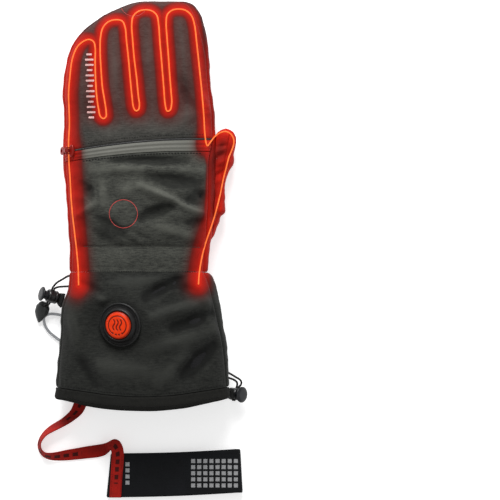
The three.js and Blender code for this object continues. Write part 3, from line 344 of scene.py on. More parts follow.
def wall_faces(nu, nv, wrap=False):
    cols = nv if wrap else nv + 1
    ident = lambda k, i, j: k * (nu + 1) * cols + i * cols + (j % nv if wrap else j)
    i, j = [a.ravel() for a in np.meshgrid(np.arange(nu), np.arange(nv), indexing="ij")]
    outer = np.stack([ident(0, i, j), ident(0, i, j + 1), ident(0, i + 1, j + 1), ident(0, i + 1, j)], -1)
    inner = np.stack([ident(1, i, j), ident(1, i + 1, j), ident(1, i + 1, j + 1), ident(1, i, j + 1)], -1)
    j = np.arange(nv)
    rims = [np.stack([ident(0, 0, j), ident(1, 0, j), ident(1, 0, j + 1), ident(0, 0, j + 1)], -1),
            np.stack([ident(0, nu, j), ident(0, nu, j + 1), ident(1, nu, j + 1), ident(1, nu, j)], -1)]
    if not wrap:
        i = np.arange(nu)
        rims += [np.stack([ident(0, i, 0 * i), ident(0, i + 1, 0 * i), ident(1, i + 1, 0 * i), ident(1, i, 0 * i)], -1),
                 np.stack([ident(0, i, 0 * i + nv), ident(1, i, 0 * i + nv), ident(1, i + 1, 0 * i + nv), ident(0, i + 1, 0 * i + nv)], -1)]
    rim = np.vstack(rims)
    faces = np.vstack([outer, inner, rim])
    kind = np.concatenate([np.zeros(len(outer)), np.ones(len(inner)), np.zeros(len(rim))]).astype(int)
    return faces, kind


def grid_normals(g, wrap=False):
    if wrap:
        dv = np.roll(g, -1, 1) - np.roll(g, 1, 1)
    else:
        dv = np.gradient(g, axis=1)
    du = np.gradient(g, axis=0)
    n = np.cross(dv, du)
    return n / np.maximum(np.linalg.norm(n, axis=-1, keepdims=True), 1e-9)


def border_distance(g, wrap=False):
    """Millimetres from each grid point to the u borders and the v borders, along the grid."""
    du = np.linalg.norm(np.diff(g, axis=0), axis=-1)
    a = np.concatenate([np.zeros((1, g.shape[1])), np.cumsum(du, 0)], 0)
    lo_u, hi_u = a, a[-1:] - a
    if wrap:
        big = np.full(a.shape, 1e3)
        return lo_u, hi_u, big, big
    dv = np.linalg.norm(np.diff(g, axis=1), axis=-1)
    b = np.concatenate([np.zeros((g.shape[0], 1)), np.cumsum(dv, 1)], 1)
    return lo_u, hi_u, b, b[:, -1:] - b


def round_in(dist, width, depth):
    q = np.clip(1 - dist / width, 0, 1)
    return depth * (1 - np.sqrt(np.maximum(1 - q * q, 0)))


def shell(name, outer, inner, mats, wrap=False, dips=(3.2, 1.5, 3.2, 1.5), detail=None, fill=0.5, attrs=None, **kw):
    """Padded panel: outer and inner grids of points, with its borders rounded in towards the seams."""
    n = grid_normals(outer, wrap)
    centre = outer.reshape(-1, 3).mean(0)
    if ((outer - centre) * n).sum() < 0:
        n = -n
    lo_u, hi_u, lo_v, hi_v = border_distance(outer, wrap)
    wu, du, wv, dv = dips
    dip = np.maximum(np.maximum(round_in(lo_u, wu, du), round_in(hi_u, wu, du)), np.maximum(round_in(lo_v, wv, dv), round_in(hi_v, wv, dv)))
    soft = np.minimum(np.minimum(smooth(0, 6, lo_u), smooth(0, 6, hi_u)), np.minimum(smooth(0, 6, lo_v), smooth(0, 6, hi_v)))
    lift = detail(outer, soft) if detail else 0
    far = outer[..., 1].max()
    outer = outer + n * (lift - dip)[..., None]
    outer[..., 1] = np.minimum(outer[..., 1], far)
    outer[..., 2] = np.maximum(outer[..., 2], 0.0)
    nu, nv = outer.shape[0] - 1, outer.shape[1] - (0 if wrap else 1)
    faces, kind = wall_faces(nu, nv, wrap)
    pts = np.concatenate([outer.reshape(-1, 3), inner.reshape(-1, 3)])
    # painted red glow round the heating wire, stored per point on the outer face
    h = np.concatenate([painted_glow_strength(outer).ravel(), np.zeros(inner.reshape(-1, 3).shape[0])])
    # painted shade and highlight for the folds: high in the detail's valleys, where the material darkens the cloth,
    # negative on its ridges, where it lightens it
    low = np.zeros(len(pts))
    if detail:
        low[:lift.size] = np.clip(smooth(0.1, -1.9, lift) - 0.45 * smooth(0.3, 2.2, lift), -0.45, 1).ravel()
    extra = {"painted_glow": h, "hollow": low}
    for key, fn in (attrs or {}).items():
        extra[key] = np.concatenate([fn(outer).ravel(), np.zeros(inner.reshape(-1, 3).shape[0])])
    obj = make(name, pts, faces, mats, kind if len(mats) > 1 else None, attrs=extra, sharp=48, **kw)
    return obj


# ---------------------------------------------------------------- materials
def srgb(r, g, b):
    return tuple((c / 12.92 if c <= 0.04045 else ((c + 0.055) / 1.055) ** 2.4) for c in (r / 255, g / 255, b / 255)) + (1.0,)


class Nodes:
    def __init__(self, name):
        self.mat = bpy.data.materials.new(name)
        self.mat.use_nodes = True
        self.t = self.mat.node_tree
        self.t.nodes.clear()
        self.out = self.t.nodes.new("ShaderNodeOutputMaterial")
        self.b = self.t.nodes.new("ShaderNodeBsdfPrincipled")
        self.t.links.new(self.b.outputs[0], self.out.inputs[0])
        self.coord = self.t.nodes.new("ShaderNodeTexCoord").outputs["Object"]

    def new(self, kind, **values):
        n = self.t.nodes.new(kind)
        for k, v in values.items():
            if hasattr(n, k):
                setattr(n, k, v)
            else:
                n.inputs[k.replace("_", " ")].default_value = v
        return n

    def to(self, a, b):
        self.t.links.new(a, b)
        return b

    def math(self, op, a, b=None, clamp=False):
        n = self.new("ShaderNodeMath", operation=op, use_clamp=clamp)
        for i, v in enumerate((a, b)):
            if v is None:
                continue
            if isinstance(v, (int, float)):
                n.inputs[i].default_value = v
            else:
                self.to(v, n.inputs[i])
        return n.outputs[0]

    def scaled(self, sx, sy, sz, rot=(0, 0, 0), source=None):
        n = self.new("ShaderNodeMapping")
        n.inputs["Scale"].default_value = (sx, sy, sz)
        n.inputs["Rotation"].default_value = rot
        self.to(source or self.coord, n.inputs["Vector"])
        return n.outputs[0]

    def noise(self, vector, scale, detail=2.0, rough=0.5):
        n = self.new("ShaderNodeTexNoise", Scale=scale, Detail=detail, Roughness=rough)
        self.to(vector, n.inputs["Vector"])
        return n.outputs["Fac"]

    def ramp(self, fac, stops):
        n = self.new("ShaderNodeValToRGB")
        e = n.color_ramp.elements
        while len(e) > len(stops):
            e.remove(e[-1])
        while len(e) < len(stops):
            e.new(0.5)
        for k, (pos, col) in enumerate(stops):
            e[k].position = pos
            e[k].color = col if len(col) == 4 else (*col, 1)
        self.to(fac, n.inputs[0])
        return n.outputs[0]

    def range(self, value, a, b, c, d):
        n = self.new("ShaderNodeMapRange")
        for k, v in zip(("From Min", "From Max", "To Min", "To Max"), (a, b, c, d)):
            n.inputs[k].default_value = v
        self.to(value, n.inputs["Value"])
        return n.outputs[0]

    def mix(self, fac, a, b, kind="MIX"):
        n = self.new("ShaderNodeMix", data_type="RGBA", blend_type=kind)
        for i, v in ((0, fac), (6, a), (7, b)):
            if isinstance(v, (int, float)):
                n.inputs[i].default_value = v
            elif isinstance(v, tuple):
                n.inputs[i].default_value = v
            else:
                self.to(v, n.inputs[i])
        return n.outputs[2]

    def attr(self, name):
        return self.new("ShaderNodeAttribute", attribute_type="GEOMETRY", attribute_name=name).outputs["Fac"]

    def bump(self, height, strength, distance, below=None):
        n = self.new("ShaderNodeBump", Strength=strength, Distance=distance)
        self.to(height, n.inputs["Height"])
        if below is not None:
            self.to(below, n.inputs["Normal"])
        return n.outputs[0]

    def wave(self, vector, scale, axis, distortion=0.0):
        n = self.new("ShaderNodeTexWave", wave_type="BANDS", bands_direction=axis, Scale=scale, Distortion=distortion)
        self.to(vector, n.inputs["Vector"])
        return n.outputs["Fac"]


# painted glow colours: faint, full and core red laid on the cloth round the heating wire, standing in for light from a
# glowing wire
GLOW_RED_FAINT, RED = (0.085, 0.007, 0.005, 1), (0.30, 0.006, 0.002, 1)
GLOW_RED_CORE = (0.50, 0.013, 0.003, 1)


def add_painted_glow(m, colour, glow=0.13):
    """Colour of cloth with a painted red glow round the heating wire, and emission there as a painted glow, as if the
    wire lit it.
    """
    h = m.attr("painted_glow")
    faint = m.range(h, 0.0, 0.35, 0.0, 1.0)
    c = m.mix(faint, colour, GLOW_RED_FAINT)
    c = m.mix(m.range(h, 0.25, 0.85, 0.0, 1.0), c, RED)
    c = m.mix(m.range(h, 0.90, 1.0, 0.0, 0.65), c, GLOW_RED_CORE)
    # the cloth's emission here is a painted glow, strongest beside the wire
    m.to(m.ramp(h, [(0.0, (0, 0, 0)), (0.35, (0.030, 0.001, 0.0008)), (0.8, (0.16, 0.004, 0.001)), (1.0, (0.34, 0.010, 0.002))]), m.b.inputs["Emission Color"])
    m.b.inputs["Emission Strength"].default_value = glow
    return c


def melange(name, light, dark, pitch=0.62, glow_halo_on=True, streak=1.0, rough=0.86, weave=0.5):
    """Heathered softshell: fine knit rows, streaky yarn colours, matte."""
    m = Nodes(name)
    rows = m.noise(m.scaled(190, 1050, 420), 1.0, 3.0, 0.6)
    fine = m.noise(m.scaled(800, 1500, 900), 1.0, 2.0, 0.6)
    cloud = m.noise(m.coord, 38.0, 3.0, 0.55)
    value = m.math("ADD", m.math("MULTIPLY", rows, 0.62 * streak), m.math("MULTIPLY", fine, 0.42))
    value = m.math("ADD", value, m.math("MULTIPLY", m.math("SUBTRACT", cloud, 0.5), 0.18))
    base = m.ramp(value, [(0.34, dark), (0.52, tuple(0.5 * (a + b) for a, b in zip(light, dark))), (0.70, light)])
    # painted shade in the fold valleys and painted highlight on the fold ridges, from the hollow attribute
    hollow = m.attr("hollow")
    base = m.mix(m.range(hollow, 0.0, 0.9, 0.0, 0.72), base, tuple(0.42 * c for c in dark[:3]) + (1,))
    base = m.mix(m.range(hollow, -0.40, 0.0, 0.48, 0.0), base, tuple(min(1.38 * c, 1) for c in light[:3]) + (1,))
    # painted red glow round the heating wire where it is switched on
    m.to(add_painted_glow(m, base) if glow_halo_on else base, m.b.inputs["Base Color"])
    k = 2 * math.pi / (pitch / 1000.0) / 20.0
    wx = m.wave(m.coord, k, "X")
    wy = m.wave(m.coord, k * 0.86, "Y", 0.0)
    knit = m.math("MULTIPLY", wx, wy)
    height = m.math("ADD", m.math("MULTIPLY", knit, weave), m.math("MULTIPLY", rows, 0.5))
    m.to(m.bump(height, 0.55, 0.00022), m.b.inputs["Normal"])
    m.to(m.range(fine, 0.3, 0.7, rough - 0.06, min(rough + 0.06, 1)), m.b.inputs["Roughness"])
    m.b.inputs["Sheen Weight"].default_value = 0.05
    m.b.inputs["Sheen Roughness"].default_value = 0.6
    m.b.inputs["Specular IOR Level"].default_value = 0.07
    return m.mat


def plain_cloth(name, colour, pitch=0.5, rough=0.9, depth=0.00015, glow_halo_on=False, contrast=0.35):
    m = Nodes(name)
    n = m.noise(m.coord, 1400.0, 2.0)
    cloud = m.noise(m.coord, 60.0, 3.0)
    dark = tuple(c * (1 - contrast) for c in colour[:3]) + (1,)
    light = tuple(min(c * (1 + contrast), 1) for c in colour[:3]) + (1,)
    base = m.ramp(m.math("ADD", m.math("MULTIPLY", n, 0.6), m.math("MULTIPLY", cloud, 0.4)), [(0.32, dark), (0.68, light)])
    # painted red glow round the heating wire where it is switched on
    m.to(add_painted_glow(m, base) if glow_halo_on else base, m.b.inputs["Base Color"])
    k = 2 * math.pi / (pitch / 1000.0) / 20.0
    knit = m.math("MULTIPLY", m.wave(m.coord, k, "X"), m.wave(m.coord, k, "Y"))
    m.to(m.bump(m.math("ADD", knit, m.math("MULTIPLY", n, 0.6)), 0.5, depth), m.b.inputs["Normal"])
    m.to(m.range(cloud, 0.3, 0.7, rough - 0.05, min(rough + 0.05, 1)), m.b.inputs["Roughness"])
    m.b.inputs["Specular IOR Level"].default_value = 0.14
    return m.mat


def leather(name, colour, glow_halo_on=False, rough=0.55, glow=0.13):
    m = Nodes(name)
    v = m.new("ShaderNodeTexVoronoi", feature="DISTANCE_TO_EDGE", Scale=620.0)
    m.to(m.coord, v.inputs["Vector"])
    grain = m.range(v.outputs["Distance"], 0.0, 0.25, 0.0, 1.0)
    cloud = m.noise(m.coord, 70.0, 3.0)
    dark = tuple(c * 0.6 for c in colour[:3]) + (1,)
    light = tuple(min(c * 1.35, 1) for c in colour[:3]) + (1,)
    base = m.ramp(m.math("ADD", m.math("MULTIPLY", grain, 0.35), m.math("MULTIPLY", cloud, 0.65)), [(0.3, dark), (0.7, light)])
    # painted red glow round the heating wire where it is switched on
    m.to(add_painted_glow(m, base, glow) if glow_halo_on else base, m.b.inputs["Base Color"])
    m.to(m.bump(grain, 0.35, 0.00018), m.b.inputs["Normal"])
    m.to(m.range(cloud, 0.3, 0.7, rough - 0.08, rough + 0.1), m.b.inputs["Roughness"])
    m.b.inputs["Specular IOR Level"].default_value = 0.10
    return m.mat


def moulded(name, colour, rough=0.4, grain=900.0, depth=0.00006, coat=0.0, wear=None, spec=0.5, metal=0.0):
    """Moulded plastic, rubber or painted metal: fine grain, cloudy gloss, lighter worn patches."""
    m = Nodes(name)
    n = m.noise(m.coord, grain, 3.0, 0.6)
    cloud = m.noise(m.coord, 160.0, 3.0)
    dark = tuple(c * 0.82 for c in colour[:3]) + (1,)
    light = tuple(min(c * 1.16, 1) for c in colour[:3]) + (1,)
    base = m.ramp(cloud, [(0.35, dark), (0.65, light)])
    if wear:
        base = m.mix(m.range(m.noise(m.coord, 420.0, 4.0, 0.7), 0.60, 0.78, 0.0, 0.5), base, wear)
    m.to(base, m.b.inputs["Base Color"])
    m.to(m.bump(n, 0.35, depth), m.b.inputs["Normal"])
    m.to(m.range(cloud, 0.3, 0.7, rough - 0.05, rough + 0.07), m.b.inputs["Roughness"])
    m.b.inputs["Coat Weight"].default_value = coat
    m.b.inputs["Specular IOR Level"].default_value = spec
    m.b.inputs["Metallic"].default_value = metal
    return m.mat


HOOD_M = melange("hood_softshell", srgb(73, 72, 68), srgb(35, 35, 33))
SHELL_M = melange("hand_softshell", srgb(78, 79, 73), srgb(37, 38, 36))
CUFF_M = melange("cuff_softshell", srgb(45, 46, 43), srgb(17, 18, 17))
UNDER_M = melange("cuff_underside", srgb(44, 45, 42), srgb(21, 22, 21))
HEM_M = plain_cloth("hem_binding", srgb(27, 27, 25), 0.7)
LINING_M = plain_cloth("fleece_lining", srgb(30, 30, 31), 1.4, 0.97, 0.0005)
PALM_M = leather("palm_grip", srgb(33, 32, 32), glow_halo_on=True, rough=0.62)
THUMB_M = leather("thumb_cloth", srgb(112, 80, 77), glow_halo_on=True, rough=0.68)
TAPE_M = plain_cloth("reflective_tape", srgb(98, 98, 92), 0.45, 0.5, 0.00008, glow_halo_on=True, contrast=0.14)


# ---------------------------------------------------------------- cloth shells
def grid(nu, nv):
    return np.meshgrid(np.linspace(0, 1, nu + 1), np.linspace(0, 1, nv + 1), indexing="ij")


def back_point(table, probe, low, high, u, v, d, eased=False):
    x = ring(table, probe, seam_l(probe) + (seam_r(probe) - seam_l(probe)) * v, 0)[..., 0]
    y = low(x) + (high(x) - low(x)) * u
    return ring(table, y, seam_l(y) + (seam_r(y) - seam_l(y)) * v, d, SEAM)


ease = lambda u: 1 - (1 - u) ** 1.35

# folds seen in the cloth, beyond the main ones: x0, y0, x1, y1 in picture units, half width and height in mm
def mm_folds(rows):
    return [[*px(a, b), *px(c, d), w, h] for a, b, c, d, w, h in rows]


HOOD_FOLDS = mm_folds([
    (183, 84, 188, 101, 4.0, -1.1), (190, 98, 207, 124, 5.0, -1.0), (176, 118, 200, 113, 6.0, 0.7), (196, 88, 209, 112, 4.0, 0.8),
    (90, 122, 112, 132, 7.0, 0.7), (84, 100, 100, 128, 6.0, -0.6), (70, 60, 66, 120, 5.0, 0.5), (120, 128, 180, 130, 8.0, 0.5),
    (118, 30, 112, 100, 7.0, 0.6), (149, 24, 152, 96, 7.0, 0.6), (181, 26, 186, 80, 7.0, 0.6), (133, 30, 139, 104, 3.5, -0.55),
    (166, 30, 170, 104, 3.5, -0.55), (99, 50, 104, 114, 3.5, -0.5), (200, 40, 208, 90, 3.0, -0.5), (64, 78, 64, 118, 3.0, -0.6)])
HAND_FOLDS = mm_folds([
    (112, 160, 186, 163, 4.6, -1.3), (92, 171, 150, 168, 5.0, 0.8), (141, 186, 200, 213, 3.6, 1.9), (150, 178, 200, 184, 5.5, -1.3),
    (143, 218, 174, 205, 5.0, -1.5), (172, 204, 206, 200, 6.0, -1.0), (86, 187, 91, 195, 5.0, -1.4), (103, 184, 104, 206, 3.5, 0.9),
    (82, 214, 95, 204, 3.2, 1.0), (198, 193, 208, 199, 4.0, -1.3), (190, 224, 207, 220, 4.5, -1.3), (126, 232, 143, 242, 3.0, 0.8),
    (98, 218, 122, 232, 5.0, -1.0), (122, 232, 143, 238, 5.0, -0.8), (150, 225, 190, 236, 5.0, 0.7), (132, 186, 120, 196, 5.0, 0.6),
    (76, 196, 80, 240, 4.0, 0.7), (88, 226, 120, 246, 5.0, -0.6), (160, 168, 206, 172, 5.0, 0.7)])
CUFF_FOLDS = mm_folds([
    (108, 262, 150, 265, 4.5, -0.9), (90, 257, 196, 257, 6.0, 0.8), (146, 296, 182, 276, 5.0, -1.4), (174, 329, 219, 310, 5.5, -1.3),
    (184, 374, 214, 346, 6.0, -1.5), (96, 293, 111, 307, 3.6, 0.9), (146, 318, 206, 302, 5.0, 1.1), (150, 350, 205, 332, 7.0, 0.8),
    (70, 300, 78, 350, 5.0, 0.7), (90, 366, 150, 372, 9.0, 0.7), (76, 350, 96, 384, 6.0, -0.7), (160, 384, 184, 356, 7.0, 0.7),
    (84, 284, 100, 292, 4.0, -0.9), (176, 284, 196, 292, 4.0, -0.8), (200, 290, 214, 330, 4.5, 0.7), (112, 284, 170, 280, 5.0, 0.7)])
MAGNETS = [(*px(124.0, 214.0), 11.9), (*px(134.2, 3.2), 11.6)]
STITCH_ROWS = {
    "zip": np.array([px(x, y) for x, y in [(80, 163.6), (95, 160.0), (110, 157.4), (125, 155.4), (140, 154.0), (155, 152.8), (170, 152.0), (185, 151.6), (197, 151.4), (208, 151.6)]]),
    "wrist_up": np.array([px(x, y) for x, y in [(84, 246.4), (100, 246.6), (120, 246.2), (150, 245.9), (180, 246.6), (200, 247.4)]]),
    "wrist_low": np.array([px(x, y) for x, y in [(88, 270.6), (110, 270.9), (140, 271.6), (170, 271.8), (196, 271.2)]]),
}
STITCH_FINE = {k: resample(v, step=1.0) for k, v in STITCH_ROWS.items()}


def ring_groove(x, y, width=0.8):
    z = 0
    for cx, cy, r in MAGNETS:
        d = np.hypot(x - cx, y - cy)
        z = z - 0.55 * np.exp(-(((d - r) / width) ** 2)) + 0.35 * smooth(r, r - 3.5, d)
    return z


def groove(x, y, line, width, depth):
    return -depth * np.exp(-((line_distance(x, y, line) / width) ** 2))


def crumple(p, size, height, seed):
    """Small soft creases, sharper on the ridges."""
    a = noise(p * np.array([1.0, 1.0, 0.6]), size, seed)
    b = noise(p * np.array([1.0, 1.0, 0.6]), size * 0.45, seed + 5)
    return height * (0.7 * (1 - 2 * np.abs(a)) * 0.5 + 0.35 * b)


def hood_detail(g, soft):
    x, y = g[..., 0], g[..., 1]
    top = smooth(0.15, 0.75, (g[..., 2] - 17) / 22)
    z = 2.4 * fold_sum(x, y, HOOD_FOLDS) + crumple(g, 17.0, 0.8, 1) + crumple(g, 7.5, 0.34, 2)
    z = z + ring_groove(x, y)
    edge = 0.5 * np.sin(g[..., 1] * 0.9 + 2.0 * np.sin(g[..., 1] * 0.23)) * (1 - smooth(0, 9, 60 - np.abs(x)))
    return (z + 0.25 * edge) * soft * (0.45 + 0.55 * top)


def hand_detail(g, soft):
    x, y = g[..., 0], g[..., 1]
    top = smooth(0.15, 0.75, (g[..., 2] - 18) / 22)
    z = 2.7 * fold_sum(x, y, HAND_FOLDS) + crumple(g, 15.0, 0.9, 3) + crumple(g, 6.5, 0.36, 4) + ring_groove(x, y)
    z = z + groove(x, y, STITCH_FINE["wrist_up"], 0.9, 0.55)
    z = z + 0.5 * smooth(66, 72, y) * 0
    return z * soft * (0.45 + 0.55 * top)


def cuff_detail(g, soft):
    x, y = g[..., 0], g[..., 1]
    top = smooth(0.15, 0.75, (g[..., 2] - 20) / 24)
    r = np.hypot(x - BUTTON["x"], y - BUTTON["y"])
    free = smooth(20.5, 27, r)
    z = 3.3 * fold_sum(x, y, CUFF_FOLDS) + crumple(g, 18.0, 0.8, 6) + crumple(g, 8.0, 0.34, 7)
    z = z + groove(x, y, STITCH_FINE["wrist_low"], 0.9, 0.55) + 0
    low = HEM_SEAM(x, 1)
    gather = np.exp(-(((y - low) / 6.5) ** 2)) * (0.62 * np.sin(x * 1.33 + 1.9 * np.sin(x * 0.21)) * (0.6 + 0.4 * np.sin(x * 0.37)) + 0.30 * np.sin(x * 2.9 + np.sin(x))) - 0.7 * np.exp(-(((y - low) / 1.6) ** 2))
    return (z * free + gather) * soft * (0.45 + 0.55 * top)


def under_detail(seed):
    def detail(g, soft):
        side = smooth(2.5, 9.0, g[..., 2])
        z = crumple(g, 16.0, 1.0, seed) + crumple(g, 7.0, 0.30, seed + 1)
        return z * soft * (0.12 + 0.88 * side)
    return detail


Q = 1.0
R = lambda n: max(int(n * Q), 4)

TIP = 202.9                                 # the hood closes here, just short of the solid's pole
u, v = grid(R(150), R(140))
hood_low = lambda x: ZIP_TOP(x, 1) + 0.5


def hood_point(d):
    x = ring(HAND, 79, seam_l(79) + (seam_r(79) - seam_l(79)) * v, 0)[..., 0]
    y = hood_low(x) + (TIP - d - hood_low(x)) * ease(u)
    p = ring(HAND, y, seam_l(y) + (seam_r(y) - seam_l(y)) * v, d, SEAM)
    p[-1, :, 2] = 16.5 + SEAM
    return p


shell("hood_cloth", hood_point(0), hood_point(WALL_HAND), [HOOD_M, LINING_M], dips=(1.6, 0.8, 3.4, 1.6), detail=hood_detail, slot="hood_fabric", replaces="hood_back")

u, v = grid(R(120), R(140))
low, high = (lambda x: WRIST_Y + 0 * x), (lambda x: ZIP_LOW(x, 1) - 0.25)
shell("hand_cloth", back_point(HAND, 79, low, high, u, v, 0), back_point(HAND, 79, low, high, u, v, WALL_HAND), [SHELL_M, LINING_M],
      dips=(0.6, 0.08, 3.4, 1.6), detail=hand_detail, slot="shell_fabric", replaces="hand_back")

u, v = grid(R(16), R(140))
low, high = (lambda x: ZIP_LOW(x, 1) + 0.25), (lambda x: ZIP_TOP(x, 1) - 1.25)


def tape_detail(g, soft):
    x, y = g[..., 0], g[..., 1]
    s = (y - ZIP_LOW(x, 1)) / (ZIP_TOP(x, 1) - ZIP_LOW(x, 1))
    return 0.22 * np.cos(s * 2 * math.pi * 3) * smooth(0.05, 0.2, s) * smooth(0.95, 0.8, s) - 0.15 * smooth(0.2, 0.0, s)


shell("zip_tape_cloth", back_point(HAND, 79, low, high, u, v, -0.1), back_point(HAND, 79, low, high, u, v, WALL_HAND - 1.2), [TAPE_M, LINING_M],
      dips=(0.5, 0.2, 3.0, 1.2), detail=tape_detail, slot="reflective_tape", replaces="zip_tape")

u, v = grid(R(170), R(90))


def palm_point(d):
    y = WRIST_Y + (TIP - d - WRIST_Y) * ease(u)
    wide = 0.028 * np.exp(-(((y - 82) / 16) ** 2)) + 0.06 * smooth(192, 203, y)
    t0, t1 = seam_l(y) + SEAM_T, 2 * np.pi + seam_r(y) - SEAM_T - wide
    p = ring(HAND, y, t0 + (t1 - t0) * v, d)
    ye = y[-1]
    p[-1, :, 0] = ring(HAND, ye, seam_l(ye) + (seam_r(ye) - seam_l(ye)) * v[-1], d)[..., 0]
    p[-1, :, 2] = 16.5
    return p


shell("palm_cloth", palm_point(0), palm_point(WALL_HAND), [PALM_M, LINING_M], dips=(2.2, 0.9, 3.0, 1.3), detail=under_detail(11), slot="palm_leather", replaces="palm")

u, v = grid(R(125), R(150))
low, high = (lambda x: HEM_SEAM(x, 1) + 0.25), (lambda x: WRIST_Y - 0.14 + 0 * x)
cuff_back = shell("cuff_cloth", back_point(CUFF, HEM_Y, low, high, u, v, 0), back_point(CUFF, HEM_Y, low, high, u, v, WALL_CUFF), [CUFF_M, LINING_M],
                  dips=(0.6, 0.08, 3.4, 1.6), detail=cuff_detail, slot="cuff_fabric", replaces="cuff_back")

u, v = grid(R(80), R(110))


def under_point(d):
    def raw(y):
        t0, t1 = seam_l(y) + SEAM_T, 2 * np.pi + seam_r(y) - SEAM_T - 0.028 * np.exp(-(((y - 82) / 16) ** 2)) - 0.06 * smooth(192, 203, y)
        return ring(CUFF, y, t0 + (t1 - t0) * v, d)
    t0, t1 = seam_l(HEM_Y) + SEAM_T, 2 * np.pi + seam_r(HEM_Y) - SEAM_T
    x = ring(CUFF, HEM_Y, t0 + (t1 - t0) * v, 0)[..., 0]
    lo = HEM_SEAM(x, 1) + 0.25
    return raw(lo + (WRIST_Y - 0.12 - lo) * u)


shell("cuff_under_cloth", under_point(0), under_point(WALL_CUFF), [UNDER_M, LINING_M], dips=(2.4, 1.0, 3.0, 1.2), detail=under_detail(21), slot="cuff_fabric", replaces="cuff_under")

# turned hem: the outer face rolls round the edge into the inner one
nu, nv = R(34), R(230)
uu, vv = np.meshgrid(np.linspace(0, 1, nu + 1), np.arange(nv) / nv, indexing="ij")


def hem_point(d):
    t = vv * 2 * np.pi
    x = ring(CUFF, HEM_Y, t, 0)[..., 0]
    lo, hi = HEM_LOW(x, 1), HEM_SEAM(x, 1) - 0.25
    y = lo + (hi - lo) * uu
    edge = round_in((y - lo), 3.2, WALL_HEM / 2 - 0.25)
    p = ring(CUFF, y, t, edge - 0.1 if d == 0 else d - edge)
    p[..., 2] += np.where(t < np.pi, SEAM, 0)
    p[..., 2] = np.maximum(p[..., 2], 0)
    return p


def hem_detail(g, soft):
    x, y = g[..., 0], g[..., 1]
    hi = HEM_SEAM(x, 1)
    top = smooth(1.5, 8.0, g[..., 2])
    gather = np.exp(-(((y - hi) / 5.0) ** 2)) * (0.60 * np.sin(x * 1.5 + 1.6 * np.sin(x * 0.33) + 1.0) * (0.6 + 0.4 * np.sin(x * 0.29 + 1)) + 0.26 * np.sin(x * 3.3 + np.sin(x * 0.7)))
    roll = 0.5 * np.exp(-(((y - hi + 7.5) / 3.4) ** 2)) - 0.35 * np.exp(-(((y - hi + 11.6) / 1.4) ** 2))
    return (gather + roll + crumple(g, 10.0, 0.35, 31)) * smooth(0, 2.5, hi - y) * top


shell("cuff_hem_cloth", hem_point(0), hem_point(WALL_HEM), [HEM_M, LINING_M], wrap=True, dips=(1.6, 0.8, 1, 0), detail=hem_detail, slot="hem_tape", replaces="cuff_hem")


# ---------------------------------------------------------------- booleans on closed meshes
def boolean(obj, cutter, op="DIFFERENCE"):
    mod = obj.modifiers.new("cut", "BOOLEAN")
    mod.operation, mod.object = op, cutter
    try:
        mod.solver = "MANIFOLD"
    except TypeError:
        mod.solver = "EXACT"
    dg = bpy.context.evaluated_depsgraph_get()
    me = bpy.data.meshes.new_from_object(obj.evaluated_get(dg), preserve_all_data_layers=True, depsgraph=dg)
    obj.modifiers.remove(mod)
    old = obj.data
    obj.data = me
    bpy.data.meshes.remove(old)
    bpy.data.objects.remove(cutter)
    return obj


def raw_object(name, points, faces, outward=True):
    p = np.asarray(points, float).reshape(-1, 3)
    groups = faces if isinstance(faces, list) else [faces]
    vol = 0.0
    for f in groups:
        f = np.asarray(f)
        for k in range(1, f.shape[1] - 1):
            vol += np.einsum("ij,ij->i", p[f[:, 0]], np.cross(p[f[:, k]], p[f[:, k + 1]])).sum()
    if vol < 0:
        groups = [np.asarray(f)[:, ::-1] for f in groups]
    me = bpy.data.meshes.new(name)
    me.from_pydata(metres(p).tolist(), [], [r for f in groups for r in np.asarray(f).tolist()])
    me.polygons.foreach_set("use_smooth", np.full(len(me.polygons), True))
    me.update()
    o = bpy.data.objects.new(name, me)
    scene.collection.objects.link(o)
    return o


def tube_grid(points, radius, sides, closed=False, up=None):
    """Rings round a path; radius is a number or one per point, or a function of ring angle and length."""
    p = np.asarray(points, float)
    if closed:
        t = np.roll(p, -1, 0) - np.roll(p, 1, 0)
    else:
        t = np.gradient(p, axis=0)
    t /= np.linalg.norm(t, axis=1, keepdims=True)
    n = np.zeros_like(p)
    ref = np.array(up if up is not None else [0, 0, 1.0])
    a = ref - t[0] * ref.dot(t[0])
    if np.linalg.norm(a) < 1e-3:
        ref = np.array([1.0, 0, 0])
        a = ref - t[0] * ref.dot(t[0])
    n[0] = a / np.linalg.norm(a)
    for i in range(1, len(p)):
        a = n[i - 1] - t[i] * n[i - 1].dot(t[i])
        n[i] = a / np.linalg.norm(a)
    if closed:                                    # spreads the twist round the loop
        a = n[-1] - t[0] * n[-1].dot(t[0])
        a /= np.linalg.norm(a)
        ang = math.atan2(np.dot(np.cross(a, n[0]), t[0]), a.dot(n[0]))
        for i in range(len(p)):
            k = ang * i / len(p)
            b = np.cross(t[i], n[i])
            n[i] = n[i] * math.cos(k) + b * math.sin(k)
    b = np.cross(t, n)
    ang = np.arange(sides) / sides * 2 * np.pi
    s = np.concatenate([[0], np.cumsum(np.linalg.norm(np.diff(p, axis=0), axis=1))])
    r = radius(ang[None, :], s[:, None]) if callable(radius) else np.broadcast_to(np.asarray(radius, float).reshape(-1, 1) if np.ndim(radius) else radius, (len(p), sides))
    g = p[:, None, :] + r[..., None] * (np.cos(ang)[None, :, None] * n[:, None, :] + np.sin(ang)[None, :, None] * b[:, None, :])
    return g, s, t


